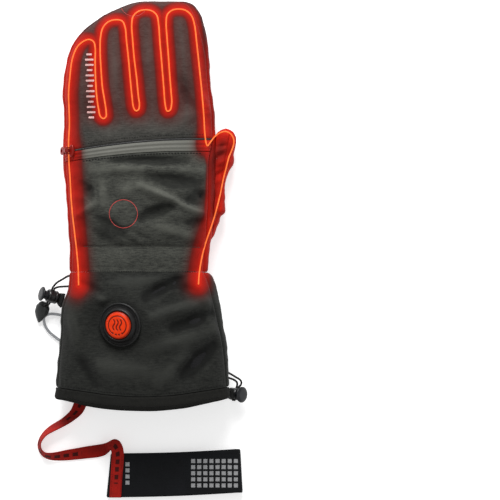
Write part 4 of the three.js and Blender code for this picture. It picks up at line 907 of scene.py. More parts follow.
def tube_mesh(points, radius, sides, closed=False, caps=True, up=None):
    g, s, _ = tube_grid(points, radius, sides, closed, up)
    m = len(g)
    rows = m if closed else m - 1
    i, j = [a.ravel() for a in np.meshgrid(np.arange(rows), np.arange(sides), indexing="ij")]
    ident = lambda a, b: (a % m) * sides + b % sides
    faces = [np.stack([ident(i, j), ident(i, j + 1), ident(i + 1, j + 1), ident(i + 1, j)], -1)]
    pts = g.reshape(-1, 3)
    uv = np.stack([np.broadcast_to(np.arange(sides) / sides, (m, sides)), np.broadcast_to(s[:, None] / 10.0, (m, sides))], -1).reshape(-1, 2)
    if not closed and caps:
        p = np.asarray(points, float)
        ends = []
        for k, out in ((0, p[0] - p[1]), (m - 1, p[-1] - p[-2])):
            out = out / np.linalg.norm(out)
            rad = np.linalg.norm(g[k] - p[k], axis=1).mean()
            ringp = p[k] + (g[k] - p[k]) * 0.62 + out * rad * 0.55
            base = len(pts)
            pts = np.vstack([pts, ringp, (p[k] + out * rad * 0.72)[None]])
            uv = np.vstack([uv, np.repeat(uv[k * sides:k * sides + 1], sides + 1, 0)])
            jj = np.arange(sides)
            lo, hi = k * sides + jj, k * sides + (jj + 1) % sides
            a, b2 = base + jj, base + (jj + 1) % sides
            q = np.stack([lo, hi, b2, a], -1) if k else np.stack([hi, lo, a, b2], -1)
            tri = np.stack([a, b2, np.full(sides, base + sides)], -1)
            ends.append((q, tri if k else tri[:, ::-1]))
        faces[0] = np.vstack([faces[0], ends[0][0], ends[1][0]])
        faces.append(np.vstack([ends[0][1], ends[1][1]]))
    return pts, faces, uv, s


def loft_mesh(rings, tip_low=None, tip_high=None):
    """Closed solid through equal rings; a tip is one closing point, and an end without one is capped from its middle."""
    m, n = rings.shape[:2]
    i, j = [a.ravel() for a in np.meshgrid(np.arange(m - 1), np.arange(n), indexing="ij")]
    ident = lambda a, b: a * n + b % n
    faces = [np.stack([ident(i, j), ident(i, j + 1), ident(i + 1, j + 1), ident(i + 1, j)], -1)]
    lo = rings[0].mean(0) if tip_low is None else np.asarray(tip_low, float)
    hi = rings[-1].mean(0) if tip_high is None else np.asarray(tip_high, float)
    pts = np.vstack([rings.reshape(-1, 3), lo[None], hi[None]])
    j = np.arange(n)
    faces.append(np.vstack([np.stack([ident(0, j + 1), ident(0, j), np.full(n, m * n)], -1),
                            np.stack([ident(m - 1, j), ident(m - 1, j + 1), np.full(n, m * n + 1)], -1)]))
    return pts, faces


# ---------------------------------------------------------------- thumb
THUMB_FOLDS = mm_folds([
    (218, 147, 226, 145.5, 1.5, -0.9), (216, 152, 225, 149, 1.7, 0.7), (215, 158, 224, 154, 1.8, -0.8), (216, 165, 226, 160, 2.0, 0.7),
    (216.5, 175.5, 223, 171.5, 1.8, -1.2), (214, 183, 222, 180, 2.4, 0.7), (214, 195, 222, 200, 3.0, -0.7), (212, 208, 222, 212, 3.0, 0.8),
    (206, 222, 217, 230, 3.0, -0.7), (228, 168, 222, 178, 3.0, 0.6)])
THUMB_SEAM = np.array([px(x, y) for x, y in [(230.6, 133.0), (229.6, 138), (228.2, 145), (226.8, 153), (224.6, 163), (222.6, 175), (221.6, 188), (220.6, 202), (217.5, 216), (212, 232)]])
SIDE_SEAM = np.array([px(x, y) for x, y in [(216.8, 158), (215.7, 163.5), (214.4, 180), (212.4, 197), (210.4, 213.6), (207, 232)]])
THUMB_SEAM_F, SIDE_SEAM_F = resample(THUMB_SEAM, step=1.0), resample(SIDE_SEAM, step=1.0)


def thumb_ring(y, t, inset):
    cx, rx = THUMB(y, 1), np.maximum(THUMB(y, 2) - inset, 0)
    cz, rz = THUMB(y, 3), np.maximum(THUMB(y, 4) - inset, 0)
    return np.stack([cx + rx * np.cos(t), y + 0 * t, np.maximum(cz + rz * np.sin(t), 0.6 + inset)], -1)


ny, nt = R(150), R(120)
yy = np.concatenate([np.linspace(-8, 84, int(ny * 0.8)), 84 + (94.85 - 84) * np.sin(np.linspace(0, np.pi / 2, ny - int(ny * 0.8) + 1))[1:]])
Y, T = np.meshgrid(yy, np.arange(nt) / nt * 2 * np.pi, indexing="ij")
g = thumb_ring(Y, T, 0.0)
nrm = grid_normals(g, True)
if ((g - g.mean((0, 1))) * nrm).sum() < 0:
    nrm = -nrm
top = smooth(9.0, 17.0, g[..., 2])
crease = 1.35 * fold_sum(g[..., 0], g[..., 1], THUMB_FOLDS) * top + crumple(g, 11.0, 0.8, 41) * smooth(2, 9, g[..., 2]) + crumple(g, 5.0, 0.28, 42) * smooth(2, 9, g[..., 2])
crease = crease + (groove(g[..., 0], g[..., 1], THUMB_SEAM_F, 0.8, 0.9) + groove(g[..., 0], g[..., 1], SIDE_SEAM_F, 0.8, 0.7)) * top
g = g + nrm * (crease * smooth(94.8, 90, g[..., 1]))[..., None]
g[..., 2] = np.maximum(g[..., 2], 0.6)
outer_pts, outer_faces = loft_mesh(g, None, [75.5, 95.0, 15.0])
yi = np.concatenate([np.linspace(1.5, 84, 50), np.linspace(85, 90.6, 6)])
Yi, Ti = np.meshgrid(yi, np.arange(48) / 48 * 2 * np.pi, indexing="ij")
in_pts, in_faces = loft_mesh(thumb_ring(Yi, Ti, WALL_THUMB), None, [75.2, 91.4, 15.0])
hand_y = np.linspace(-29, 102, 90)
Yh, Th = np.meshgrid(hand_y, np.arange(140) / 140 * 2 * np.pi, indexing="ij")
hand_pts, hand_faces = loft_mesh(ring(HAND, Yh, Th, -0.5))
thumb = raw_object("thumb_cloth", outer_pts, outer_faces)
thumb = boolean(thumb, raw_object("thumb_hollow", in_pts, in_faces))
thumb = boolean(thumb, raw_object("hand_space", hand_pts, hand_faces))
me = thumb.data
co = np.empty(len(me.vertices) * 3)
me.vertices.foreach_get("co", co)
co = co.reshape(-1, 3) * 1000.0 - O
# the cut leaves loose crumbs where the thumb grazes the hand: only the largest connected piece stays
parent = np.arange(len(co))
edges = np.empty(len(me.edges) * 2, np.int32)
me.edges.foreach_get("vertices", edges)
edges = edges.reshape(-1, 2)
while True:
    low_id = np.minimum(parent[edges[:, 0]], parent[edges[:, 1]])
    before = parent.copy()
    np.minimum.at(parent, edges[:, 0], low_id)
    np.minimum.at(parent, edges[:, 1], low_id)
    parent = parent[parent]
    if (parent == before).all():
        break
ids, counts = np.unique(parent, return_counts=True)
if len(ids) > 1:
    import bmesh
    keep = ids[counts.argmax()]
    bm = bmesh.new()
    bm.from_mesh(me)
    bm.verts.ensure_lookup_table()
    bmesh.ops.delete(bm, geom=[bm.verts[i] for i in np.nonzero(parent != keep)[0].tolist()], context="VERTS")
    bm.to_mesh(me)
    bm.free()
    co = co[parent == keep]
# painted red glow round the heating wire on the thumb; none on the faces left inside it by the cuts
a = me.attributes.get("painted_glow") or me.attributes.new("painted_glow", "FLOAT", "POINT")
xh = painted_glow_strength(co)
inside = np.abs((co[:, 0] - THUMB(co[:, 1], 1)) / np.maximum(THUMB(co[:, 1], 2), 1e-3)) ** 2 + np.abs((co[:, 2] - THUMB(co[:, 1], 3)) / np.maximum(THUMB(co[:, 1], 4), 1e-3)) ** 2
xh = np.where(inside < 0.80, 0, xh)
a.data.foreach_set("value", xh.astype(np.float32))
me.materials.clear()
me.materials.append(THUMB_M)
me.polygons.foreach_set("use_smooth", np.full(len(me.polygons), True))
me.set_sharp_from_angle(angle=math.radians(50))
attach(thumb, BODY)
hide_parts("thumb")

# ---------------------------------------------------------------- heating wire
def zip_normal(x, y, e=1.5):
    n = np.stack([-(top_z(x + e, y) - top_z(x - e, y)) / (2 * e), -(top_z(x, y + e) - top_z(x, y - e)) / (2 * e), np.ones_like(np.asarray(x, float))], -1)
    return n / np.linalg.norm(n, axis=-1, keepdims=True)


def surface_of(*names):
    out = []
    for name in names:
        me = bpy.data.objects[name].data
        co = np.empty(len(me.vertices) * 3, np.float32)
        me.vertices.foreach_get("co", co)
        out.append(BVHTree.FromPolygons(co.reshape(-1, 3).tolist(), [list(p.vertices) for p in me.polygons]))
    return out


def drop(trees, xy, least=0.012):
    """Points and normals in millimetres on the highest surface under each plan point; None where there is no cloth."""
    pts, nor, keep = [], [], []
    for k, (x, y) in enumerate(xy):
        best = None
        for t in trees:
            m_ = metres([x, y, 0])
            hit, n_, _, _ = t.ray_cast(Vector((m_[0], m_[1], 0.2)), Vector((0, 0, -1)))
            if hit is not None and (best is None or hit.z > best[0].z):
                best = (hit, n_)
        if best is not None and best[0].z > least:
            n_ = best[1] if best[1].z > 0 else -best[1]
            pts.append(np.array(best[0]) * 1000 - O)
            nor.append(np.array(n_))
            keep.append(k)
    return np.array(pts), np.array(nor), keep


WIRE_D = 1.9
wx, wy = WIRE[:, 0], WIRE[:, 1]
wire_pts = np.stack([wx, wy, top_z(wx, wy) + (WIRE_D / 2 + 0.65) / np.maximum(zip_normal(wx, wy)[:, 2], 0.42)], -1)
wire_path = resample(wire_pts, step=1.0)
# the wire lies on the sewn cloth, so it follows the folds under it
laid, laid_n, laid_k = drop(surface_of("hood_cloth", "hand_cloth", "zip_tape_cloth", "cuff_cloth", "thumb_cloth", "palm_cloth"), wire_path[:, :2])
if len(laid):
    near = np.abs(laid[:, 2] - wire_path[laid_k, 2]) < 9.0
    high = np.interp(np.arange(len(wire_path)), np.array(laid_k)[near], (laid[:, 2] + 0.42 / np.clip(laid_n[:, 2], 0.4, 1))[near])
    for _ in range(3):
        high[1:-1] = np.maximum(high[1:-1], (high[:-2] + high[2:]) / 2) * 0.5 + (high[:-2] + high[1:-1] + high[2:]) / 6
    wire_path[:, 2] = high
# the wire's emission is a painted glow: a heating wire gives no light of its own
m = Nodes("heated_wire")
m.b.inputs["Base Color"].default_value = (1.0, 0.20, 0.03, 1)
n = m.noise(m.coord, 300.0, 2.0)
m.to(m.ramp(n, [(0.3, (0.92, 0.185, 0.035)), (0.7, (1.0, 0.24, 0.055))]), m.b.inputs["Emission Color"])
m.to(m.ramp(n, [(0.3, (0.30, 0.035, 0.006)), (0.7, (0.36, 0.05, 0.010))]), m.b.inputs["Base Color"])
m.b.inputs["Emission Strength"].default_value = 0.85
m.b.inputs["Specular IOR Level"].default_value = 0.2
m.b.inputs["Roughness"].default_value = 0.5
pts, faces, uv, _ = tube_mesh(wire_path, 0.60, 10)
make("heating_wire_tube", pts, faces, [m.mat], slot="heated_wire", replaces="heating_wire")


# ---------------------------------------------------------------- turned pieces
def rotation_to(direction):
    """Matrix rows that take +Z to a direction the shortest way."""
    d = np.asarray(direction, float)
    d = d / np.linalg.norm(d)
    q = Vector((0, 0, 1)).rotation_difference(Vector(d))
    return np.array(q.to_matrix())


def round_profile(profile, radius, steps=4):
    """Softens the corners of an open radius-height profile."""
    p = [np.asarray(q, float) for q in profile]
    out = [p[0]]
    for i in range(1, len(p) - 1):
        a, b, c = p[i - 1], p[i], p[i + 1]
        la, lc = np.linalg.norm(a - b), np.linalg.norm(c - b)
        if min(la, lc) < 1e-6:
            continue
        k = min(radius, 0.45 * la, 0.45 * lc)
        s, e = b + (a - b) / la * k, b + (c - b) / lc * k
        for t in np.linspace(0, 1, steps + 1):
            out.append((1 - t) ** 2 * s + 2 * t * (1 - t) * b + t * t * e)
    out.append(p[-1])
    keep = [out[0]]
    for q in out[1:]:
        if np.linalg.norm(q - keep[-1]) > 1e-4:
            keep.append(q)
    return np.array(keep)


def turned_mesh(profile, seg, shape=None):
    """Closed lathe solid; the profile starts and ends on the axis."""
    prof = np.asarray(profile, float)
    body = prof[1:-1]
    ang = np.arange(seg) / seg * 2 * np.pi
    g = np.stack([body[:, None, 0] * np.cos(ang), body[:, None, 0] * np.sin(ang), np.broadcast_to(body[:, None, 1], (len(body), seg))], -1)
    if shape is not None:
        g = shape(g)
    return loft_mesh(g, [0, 0, prof[0, 1]], [0, 0, prof[-1, 1]])


def placed(points, base, direction):
    return np.asarray(points, float) @ rotation_to(direction).T + np.asarray(base, float)


# ---------------------------------------------------------------- heat button
B_BASE = np.array([BUTTON["x"], BUTTON["y"], BUTTON["z"] + SEAM])
RUBBER_M = moulded("button_rubber", srgb(23, 23, 23), 0.50, 1200, 0.00005, wear=srgb(92, 88, 84), spec=0.3)
GREY_M = moulded("button_housing_grey", srgb(27, 26, 26), 0.42, 1100, 0.00003, wear=srgb(58, 56, 55), spec=0.25)


def ribs(radius, count, depth, width):
    """Turned detail: low radial ribs on a flat ring."""
    def shape(g):
        r = np.hypot(g[..., 0], g[..., 1])
        a = np.arctan2(g[..., 1], g[..., 0])
        s = np.clip(np.cos(a * count) * 3, -1, 1) * 0.5 + 0.5
        g = g.copy()
        g[..., 2] += depth * s * np.exp(-(((r - radius) / width) ** 2))
        return g
    return shape


base_prof = round_profile([[0, -6.6], [14.5, -6.6], [14.5, -5.2], [10.2, -5.0], [10.2, 0.5], [17.6, 0.7], [18.9, 1.2],
                           [18.9, 2.5], [18.2, 3.0], [17.4, 2.9], [17.1, 2.35], [16.4, 2.3], [0, 2.3]], 0.3)
pts, faces = turned_mesh(base_prof, 120)
make("button_plate", placed(pts, B_BASE, BN), faces, [RUBBER_M], sharp=40, slot="button_rubber", replaces="button_base")
house_prof = round_profile([[0, 2.7], [15.2, 2.7], [15.2, 3.5], [14.9, 4.3], [13.9, 5.9], [13.3, 6.35], [12.7, 6.4], [12.1, 5.9], [12.0, 4.0], [0, 3.9]], 0.35)
pts, faces = turned_mesh(house_prof, 120)
make("button_ring", placed(pts, B_BASE, BN), faces, [GREY_M], sharp=40, slot="button_grey", replaces="button_housing")

# cap with a sunk mark: a ring, three wavy strokes and a row of small studs
m = Nodes("button_orange")
mark = m.attr("mark")
cloud = m.noise(m.coord, 260.0, 3.0)
lit = m.ramp(cloud, [(0.3, srgb(206, 46, 6)), (0.7, srgb(226, 56, 9))])
m.to(m.mix(m.range(mark, 0.15, 0.7, 0.0, 0.94), lit, srgb(92, 18, 6)), m.b.inputs["Base Color"])
m.to(m.mix(m.range(mark, 0.15, 0.7, 0.0, 1.0), (0.42, 0.035, 0.003, 1), (0.02, 0.002, 0.0, 1)), m.b.inputs["Emission Color"])
m.b.inputs["Emission Strength"].default_value = 0.17
m.b.inputs["Specular IOR Level"].default_value = 0.2
m.to(m.range(cloud, 0.3, 0.7, 0.34, 0.46), m.b.inputs["Roughness"])
m.to(m.bump(m.noise(m.coord, 1500.0, 2.0), 0.2, 0.00004), m.b.inputs["Normal"])
CAP_M = m.mat
nr, na = R(90), R(180)
rad = np.linspace(0.12, 10.9, nr)
ang = np.arange(na) / na * 2 * np.pi
RR, AA = np.meshgrid(rad, ang, indexing="ij")
hx, hy = RR * np.cos(AA), RR * np.sin(AA)


def segment_field(x, y, line):
    return line_distance(x, y, np.asarray(line, float))


fieldv = np.abs(RR - 8.1) - 0.42
open_low = (np.abs(hx) < 4.6) & (hy < 0)
fieldv = np.where(open_low, 3.0, fieldv)
for cx in (-3.1, 0.0, 3.1):
    t = np.linspace(-1, 1, 24)
    stroke = np.stack([cx + 0.95 * np.sin(t * np.pi), t * 4.3 + 0.5], -1)
    fieldv = np.minimum(fieldv, segment_field(hx, hy, stroke) - 0.52)
for cx, cy in ((-4.3, -6.6), (-1.45, -7.7), (1.45, -7.7), (4.3, -6.6)):
    fieldv = np.minimum(fieldv, np.hypot(hx - cx, hy - cy) - 0.75)
sunk = 1 - smooth(-0.25, 0.35, fieldv)
crown = np.interp(RR, [0, 7.5, 9.6, 10.5, 10.9], [8.3, 8.12, 7.78, 7.4, 6.95])
topg = np.stack([hx, hy, crown - 0.38 * sunk], -1)
low_prof = np.array([[11.45, 6.6], [11.6, 6.2], [11.6, 5.5], [11.45, 5.3]])
side = np.stack([low_prof[:, None, 0] * np.cos(ang), low_prof[:, None, 0] * np.sin(ang), np.broadcast_to(low_prof[:, None, 1], (4, na))], -1)
rings = np.concatenate([topg, side])
pts, faces = loft_mesh(rings, [0, 0, 8.3 - 0.38 * sunk[0, 0]], [0, 0, 5.3])
# painted shade: the cap's colour and emission darken toward its curved edge; it shares the mark attribute with the sunk
# mark
rim = 0.46 * smooth(10.0, 10.8, RR)               # the cap darkens toward its edge
mark_and_edge_shade = np.concatenate([np.maximum(sunk, rim).ravel(), np.full(4 * na, 0.5), [sunk[0, 0], 0.0]])
make("button_top", placed(pts, B_BASE, BN), faces, [CAP_M], sharp=60, attrs={"mark": mark_and_edge_shade}, slot="button_orange", replaces="button_cap", body="button_cap")

# ---------------------------------------------------------------- cord locks
LOCK_BODY_M = moulded("lock_black", srgb(17, 17, 18), 0.30, 900, 0.00003, wear=srgb(62, 63, 64))
LOCK_HEAD_M = moulded("lock_grey", srgb(27, 28, 31), 0.32, 900, 0.00003, wear=srgb(66, 67, 73), spec=0.3)
LOCKS = {
    "wrist_lock": dict(base=[-68.2, -49.2, 9.6], axis=[-0.885, 0.24, 0.4], cross=[-0.66, -0.75, 0], r=5.6, len=9.4, head=6.3, all=16.0, body="wrist_plunger"),
    "hem_lock": dict(base=[79.2, -130.8, 5.6], axis=[0.75, -0.06, 0.66], cross=[-0.5, -0.86, 0], r=5.2, len=9.2, head=6.9, all=14.6, body="hem_plunger"),
}
SLOT, STROKE = (3.9, 8.0), 2.5


def lock_point(L, s, k):
    d = np.array(L["axis"]) / np.linalg.norm(L["axis"])
    c = np.array(L["cross"], float)
    c = c - d * c.dot(d)
    c /= np.linalg.norm(c)
    return (np.array(L["base"]) + d * s + c * k).tolist()


def box_mesh(lo, hi):
    (a, b, c), (d, e, f) = lo, hi
    p = np.array([[a, b, c], [d, b, c], [d, e, c], [a, e, c], [a, b, f], [d, b, f], [d, e, f], [a, e, f]], float)
    return p, np.array([[0, 3, 2, 1], [4, 5, 6, 7], [0, 1, 5, 4], [1, 2, 6, 5], [2, 3, 7, 6], [3, 0, 4, 7]])


def rounded_slot(z0, z1, half, corner=1.0, n=6, length=30.0):
    """Long bar of rounded section that cuts a cord slot, along X, section in Y and Z."""
    cy, cz = half - corner, (z1 - z0) / 2 - corner
    sec = []
    for k, (sy, sz) in enumerate(((1, 1), (-1, 1), (-1, -1), (1, -1))):
        for t in np.linspace(0, np.pi / 2, n):
            w = t + k * np.pi / 2
            sec.append([sy * cy + corner * math.cos(w), (z0 + z1) / 2 + sz * cz + corner * math.sin(w)])
    sec = np.array(sec)
    rings = np.stack([np.concatenate([np.full((len(sec), 1), x), sec], 1) for x in (-length / 2, length / 2)])
    return loft_mesh(rings)


def cut_and_dress(name, pts, faces, cutters, mat, **kw):
    o = raw_object(name, pts, faces)
    for cp, cf in cutters:
        o = boolean(o, raw_object("cutter", cp, cf))
    o.data.materials.clear()
    o.data.materials.append(mat)
    o.data.polygons.foreach_set("use_smooth", np.full(len(o.data.polygons), True))
    o.data.set_sharp_from_angle(angle=math.radians(35))
    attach(o, kw.get("body", BODY))
    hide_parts(kw["replaces"])
    return o


def knurled(r0, depth, count, z0, z1):
    def shape(g):
        r = np.hypot(g[..., 0], g[..., 1])
        a = np.arctan2(g[..., 1], g[..., 0])
        w = smooth(z0 - 0.3, z0 + 0.3, g[..., 2]) * smooth(z1 + 0.3, z1 - 0.3, g[..., 2]) * smooth(r0 - 0.4, r0 - 0.1, r)
        k = 1 - depth / np.maximum(r, 1e-3) * w * (0.5 + 0.5 * np.cos(a * count))
        g = g.copy()
        g[..., 0] *= k
        g[..., 1] *= k
        return g
    return shape


def cord_lock(name, L):
    d = np.array(L["axis"]) / np.linalg.norm(L["axis"])
    rot = rotation_to(d)
    flat = rot.T @ np.array(L["cross"], float)
    ang = math.atan2(flat[1], flat[0])
    turn = np.array([[math.cos(ang), -math.sin(ang), 0], [math.sin(ang), math.cos(ang), 0], [0, 0, 1]])
    put = lambda p: placed(np.asarray(p) @ turn.T, L["base"], d)
    r, ln, hd, al = L["r"], L["len"], L["head"], L["all"]
    prof = [[0, 0], [r - 0.9, 0], [r, 0.9], [r, 2.4], [r - 0.35, 2.7], [r - 0.35, 3.1], [r, 3.4], [r, ln - 1.1], [r - 0.5, ln], [r - 1.5, ln], [r - 1.5, 1.5], [0, 1.5]]
    prof = round_profile(prof, 0.28, 3)
    fine = []
    for a, b in zip(prof[:-1], prof[1:]):
        k = max(int(np.linalg.norm(b - a) / 0.7), 1)
        fine += [a + (b - a) * t for t in np.arange(k) / k]
    prof = np.array(fine + [prof[-1]])
    pts, faces = turned_mesh(prof, 72, knurled(r, 0.22, 24, 5.0, ln - 1.3))
    sp, sf = rounded_slot(SLOT[0], SLOT[1], 1.5)
    cut_and_dress(name + "_barrel", put(pts), faces, [(put(sp), sf)], LOCK_BODY_M, replaces=name + "_body", slot="lock_black")
    prof = [[0, 3.9], [r - 1.9, 3.9], [r - 1.9, al - 2.8], [hd - 0.9, al - 2.5], [hd, al - 1.8], [hd, al - 1.0], [hd - 1.2, al - 0.3], [hd - 2.6, al - 0.06], [0, al]]
    prof = round_profile(prof, 0.35, 4)
    pts, faces = turned_mesh(prof, 72, knurled(hd, 0.14, 30, al - 2.2, al - 0.8))
    sp, sf = rounded_slot(SLOT[0], SLOT[1] + STROKE, 1.5)
    cut_and_dress(name + "_push", put(pts), faces, [(put(sp), sf)], LOCK_HEAD_M, replaces=name + "_plunger", slot="lock_grey", body=L["body"])


for key, L in LOCKS.items():
    cord_lock(key, L)

# ---------------------------------------------------------------- drawcords
def cord_material(name, colour, rough=0.62):
    """Braided sheath, its strands crossing round the cord: reads the piece's own length and turn."""
    m = Nodes(name)
    uv = m.new("ShaderNodeUVMap", uv_map="along").outputs[0]
    sep = m.new("ShaderNodeSeparateXYZ")
    m.to(uv, sep.inputs[0])
    a = m.math("MULTIPLY", sep.outputs[0], 4.0)
    b = m.math("MULTIPLY", sep.outputs[1], 8.0)
    one = m.math("SINE", m.math("MULTIPLY", m.math("ADD", a, b), 2 * math.pi))
    two = m.math("SINE", m.math("MULTIPLY", m.math("SUBTRACT", a, b), 2 * math.pi))
    braid = m.math("MAXIMUM", one, two)
    n = m.noise(m.coord, 2500.0, 2.0)
    dark = tuple(c * 0.45 for c in colour[:3]) + (1,)
    light = tuple(min(c * 1.5, 1) for c in colour[:3]) + (1,)
    m.to(m.ramp(m.math("ADD", m.math("MULTIPLY", braid, 0.3), m.math("MULTIPLY", n, 0.6)), [(0.2, dark), (0.7, light)]), m.b.inputs["Base Color"])
    m.to(m.bump(braid, 0.6, 0.00012), m.b.inputs["Normal"])
    m.to(m.range(n, 0.3, 0.7, rough - 0.05, rough + 0.08), m.b.inputs["Roughness"])
    return m.mat


ELASTIC_M = cord_material("elastic_cord", srgb(28, 28, 28))
CORD_D = 1.7
LW, LH = LOCKS["wrist_lock"], LOCKS["hem_lock"]
CORDS = {
    "wrist_cord_a": [[-49.8, -29.6, 19.6], [-54.0, -29.9, 19.9], [-58.4, -30.6, 19.9], [-63.4, -33.4, 18.6], [-68.6, -36.6, 16.2],
                     lock_point(LW, 6.95, -7.4), lock_point(LW, 6.95, -3), lock_point(LW, 6.95, 2), lock_point(LW, 6.95, 6.2), [-79.6, -55.8, 9.0], [-80.9, -58.6, 6.8]],
    "wrist_cord_b": [[-50.2, -38.4, 17.6], [-54.4, -38.9, 17.7], [-58.9, -39.4, 17.6], [-63.0, -39.6, 16.8], [-67.0, -40.0, 15.0],
                     lock_point(LW, 4.95, -7.2), lock_point(LW, 4.95, -3), lock_point(LW, 4.95, 2), lock_point(LW, 4.95, 6.2), [-77.2, -56.6, 8.6], [-78.5, -59.4, 6.4]],
    "hem_cord_a": [[70.0, -110.4, 18.2], [74.0, -111.6, 17.9], [78.4, -113.3, 17.2], [83.6, -116.4, 15.4], [88.0, -119.4, 12.6],
                   [88.6, -122.6, 9.9], lock_point(LH, 6.95, -5.6), lock_point(LH, 6.95, -2), lock_point(LH, 6.95, 2), lock_point(LH, 6.95, 5.8)],
    "hem_cord_b": [[70.2, -114.6, 14.6], [74.2, -116.0, 14.2], [78.2, -117.4, 13.4], [82.0, -118.8, 11.6], [84.8, -121.0, 9.4],
                   lock_point(LH, 4.95, -8.2), lock_point(LH, 4.95, -4.4), lock_point(LH, 4.95, 0.5), lock_point(LH, 4.95, 5.8)],
}
for name, points in CORDS.items():
    path = resample(points, step=0.5)
    strand = lambda a, s: CORD_D / 2 * (1 + 0.05 * np.maximum(np.sin(2 * np.pi * (a / (2 * np.pi) * 4 + s * 0.8)), np.sin(2 * np.pi * (a / (2 * np.pi) * 4 - s * 0.8))))
    pts, faces, uv, s = tube_mesh(path, strand, 24)
    o = make(name + "_braid", pts, faces, [ELASTIC_M], uv=uv, slot="elastic_cord", replaces=name)


# ---------------------------------------------------------------- ribbons
def ribbon_grid(rows, n, m, thick, crown=0.0):
    """Two faces of a flat strap through rows of left and right edge points."""
    r = resample(np.asarray(rows, float), n=n)
    a, b = r[:, :3], r[:, 3:]
    along = np.gradient(a, axis=0) + np.gradient(b, axis=0)
    off = np.cross(b - a, along)
    off /= np.linalg.norm(off, axis=1, keepdims=True)
    v = np.linspace(0, 1, m + 1)[None, :, None]
    mid = a[:, None] * (1 - v) + b[:, None] * v
    edge = np.abs(v * 2 - 1)
    t = thick / 2 * (1 - 0.55 * np.clip((edge - 0.86) / 0.14, 0, 1) ** 2) + crown * np.cos(edge * np.pi / 2) * 0
    return mid + off[:, None] * t, mid - off[:, None] * t, (a + b) / 2, off


def ribbon_object(name, rows, n, m, thick, mats, **kw):
    up, low, mid, off = ribbon_grid(rows, n, m, thick)
    faces, kind = wall_faces(n - 1, m)
    s = np.concatenate([[0], np.cumsum(np.linalg.norm(np.diff(mid, axis=0), axis=1))])
    uv1 = np.stack([np.broadcast_to(np.linspace(0, 1, m + 1), (n, m + 1)), np.broadcast_to(s[:, None] / 10.0, (n, m + 1))], -1).reshape(-1, 2)
    pts = np.concatenate([up.reshape(-1, 3), low.reshape(-1, 3)])
    o = make(name, pts, faces, mats, uv=np.concatenate([uv1, uv1]), sharp=60, **kw)
    return o, mid, s, (up, low, off)


def webbing(name, colour, dark_print=None, prints=(), rough=0.72, depth=0.00016, width_mm=10.5):
    """Woven strap: cross ribs, twill lines, selvage edges, and plain printed dashes on given stretches."""
    m = Nodes(name)
    uv = m.new("ShaderNodeUVMap", uv_map="along").outputs[0]
    sep = m.new("ShaderNodeSeparateXYZ")
    m.to(uv, sep.inputs[0])
    u, v = sep.outputs[0], sep.outputs[1]
    rib = m.math("SINE", m.math("MULTIPLY", v, 2 * math.pi * 10 / 0.62))
    warp = m.math("SINE", m.math("MULTIPLY", u, 2 * math.pi * width_mm / 0.8))
    weave = m.math("MULTIPLY", rib, warp)
    n = m.noise(m.coord, 900.0, 2.0)
    cloud = m.noise(m.coord, 90.0, 3.0)
    edge = m.range(m.math("ABSOLUTE", m.math("SUBTRACT", u, 0.5)), 0.40, 0.455, 0.0, 1.0)
    dark = tuple(c * 0.62 for c in colour[:3]) + (1,)
    light = tuple(min(c * 1.32, 1) for c in colour[:3]) + (1,)
    value = m.math("ADD", m.math("MULTIPLY", cloud, 0.55), m.math("MULTIPLY", n, 0.25))
    value = m.math("ADD", value, m.math("MULTIPLY", weave, 0.10))
    base = m.ramp(value, [(0.22, dark), (0.62, light)])
    base = m.mix(m.math("MULTIPLY", edge, 0.35), base, dark)
    if dark_print:
        mask = None
        for v0, v1, pitch, long, half in prints:
            inside = m.math("MULTIPLY", m.math("GREATER_THAN", v, v0), m.math("LESS_THAN", v, v1))
            cell = m.math("FRACT", m.math("DIVIDE", m.math("SUBTRACT", v, v0), pitch))
            dash = m.math("MULTIPLY", m.math("LESS_THAN", cell, long), m.math("LESS_THAN", m.math("ABSOLUTE", m.math("SUBTRACT", u, 0.5)), half))
            piece = m.math("MULTIPLY", inside, dash)
            mask = piece if mask is None else m.math("MAXIMUM", mask, piece)
        base = m.mix(m.math("MULTIPLY", mask, 0.86), base, dark_print)
    m.to(base, m.b.inputs["Base Color"])
    m.to(m.bump(m.math("ADD", weave, m.math("MULTIPLY", edge, 1.2)), 0.6, depth), m.b.inputs["Normal"])
    m.to(m.range(cloud, 0.3, 0.7, rough - 0.06, rough + 0.08), m.b.inputs["Roughness"])
    m.b.inputs["Specular IOR Level"].default_value = 0.16
    return m.mat


def PXY(a, b, c, d, e, f):
    return [*px(a, b), c, *px(d, e), f]


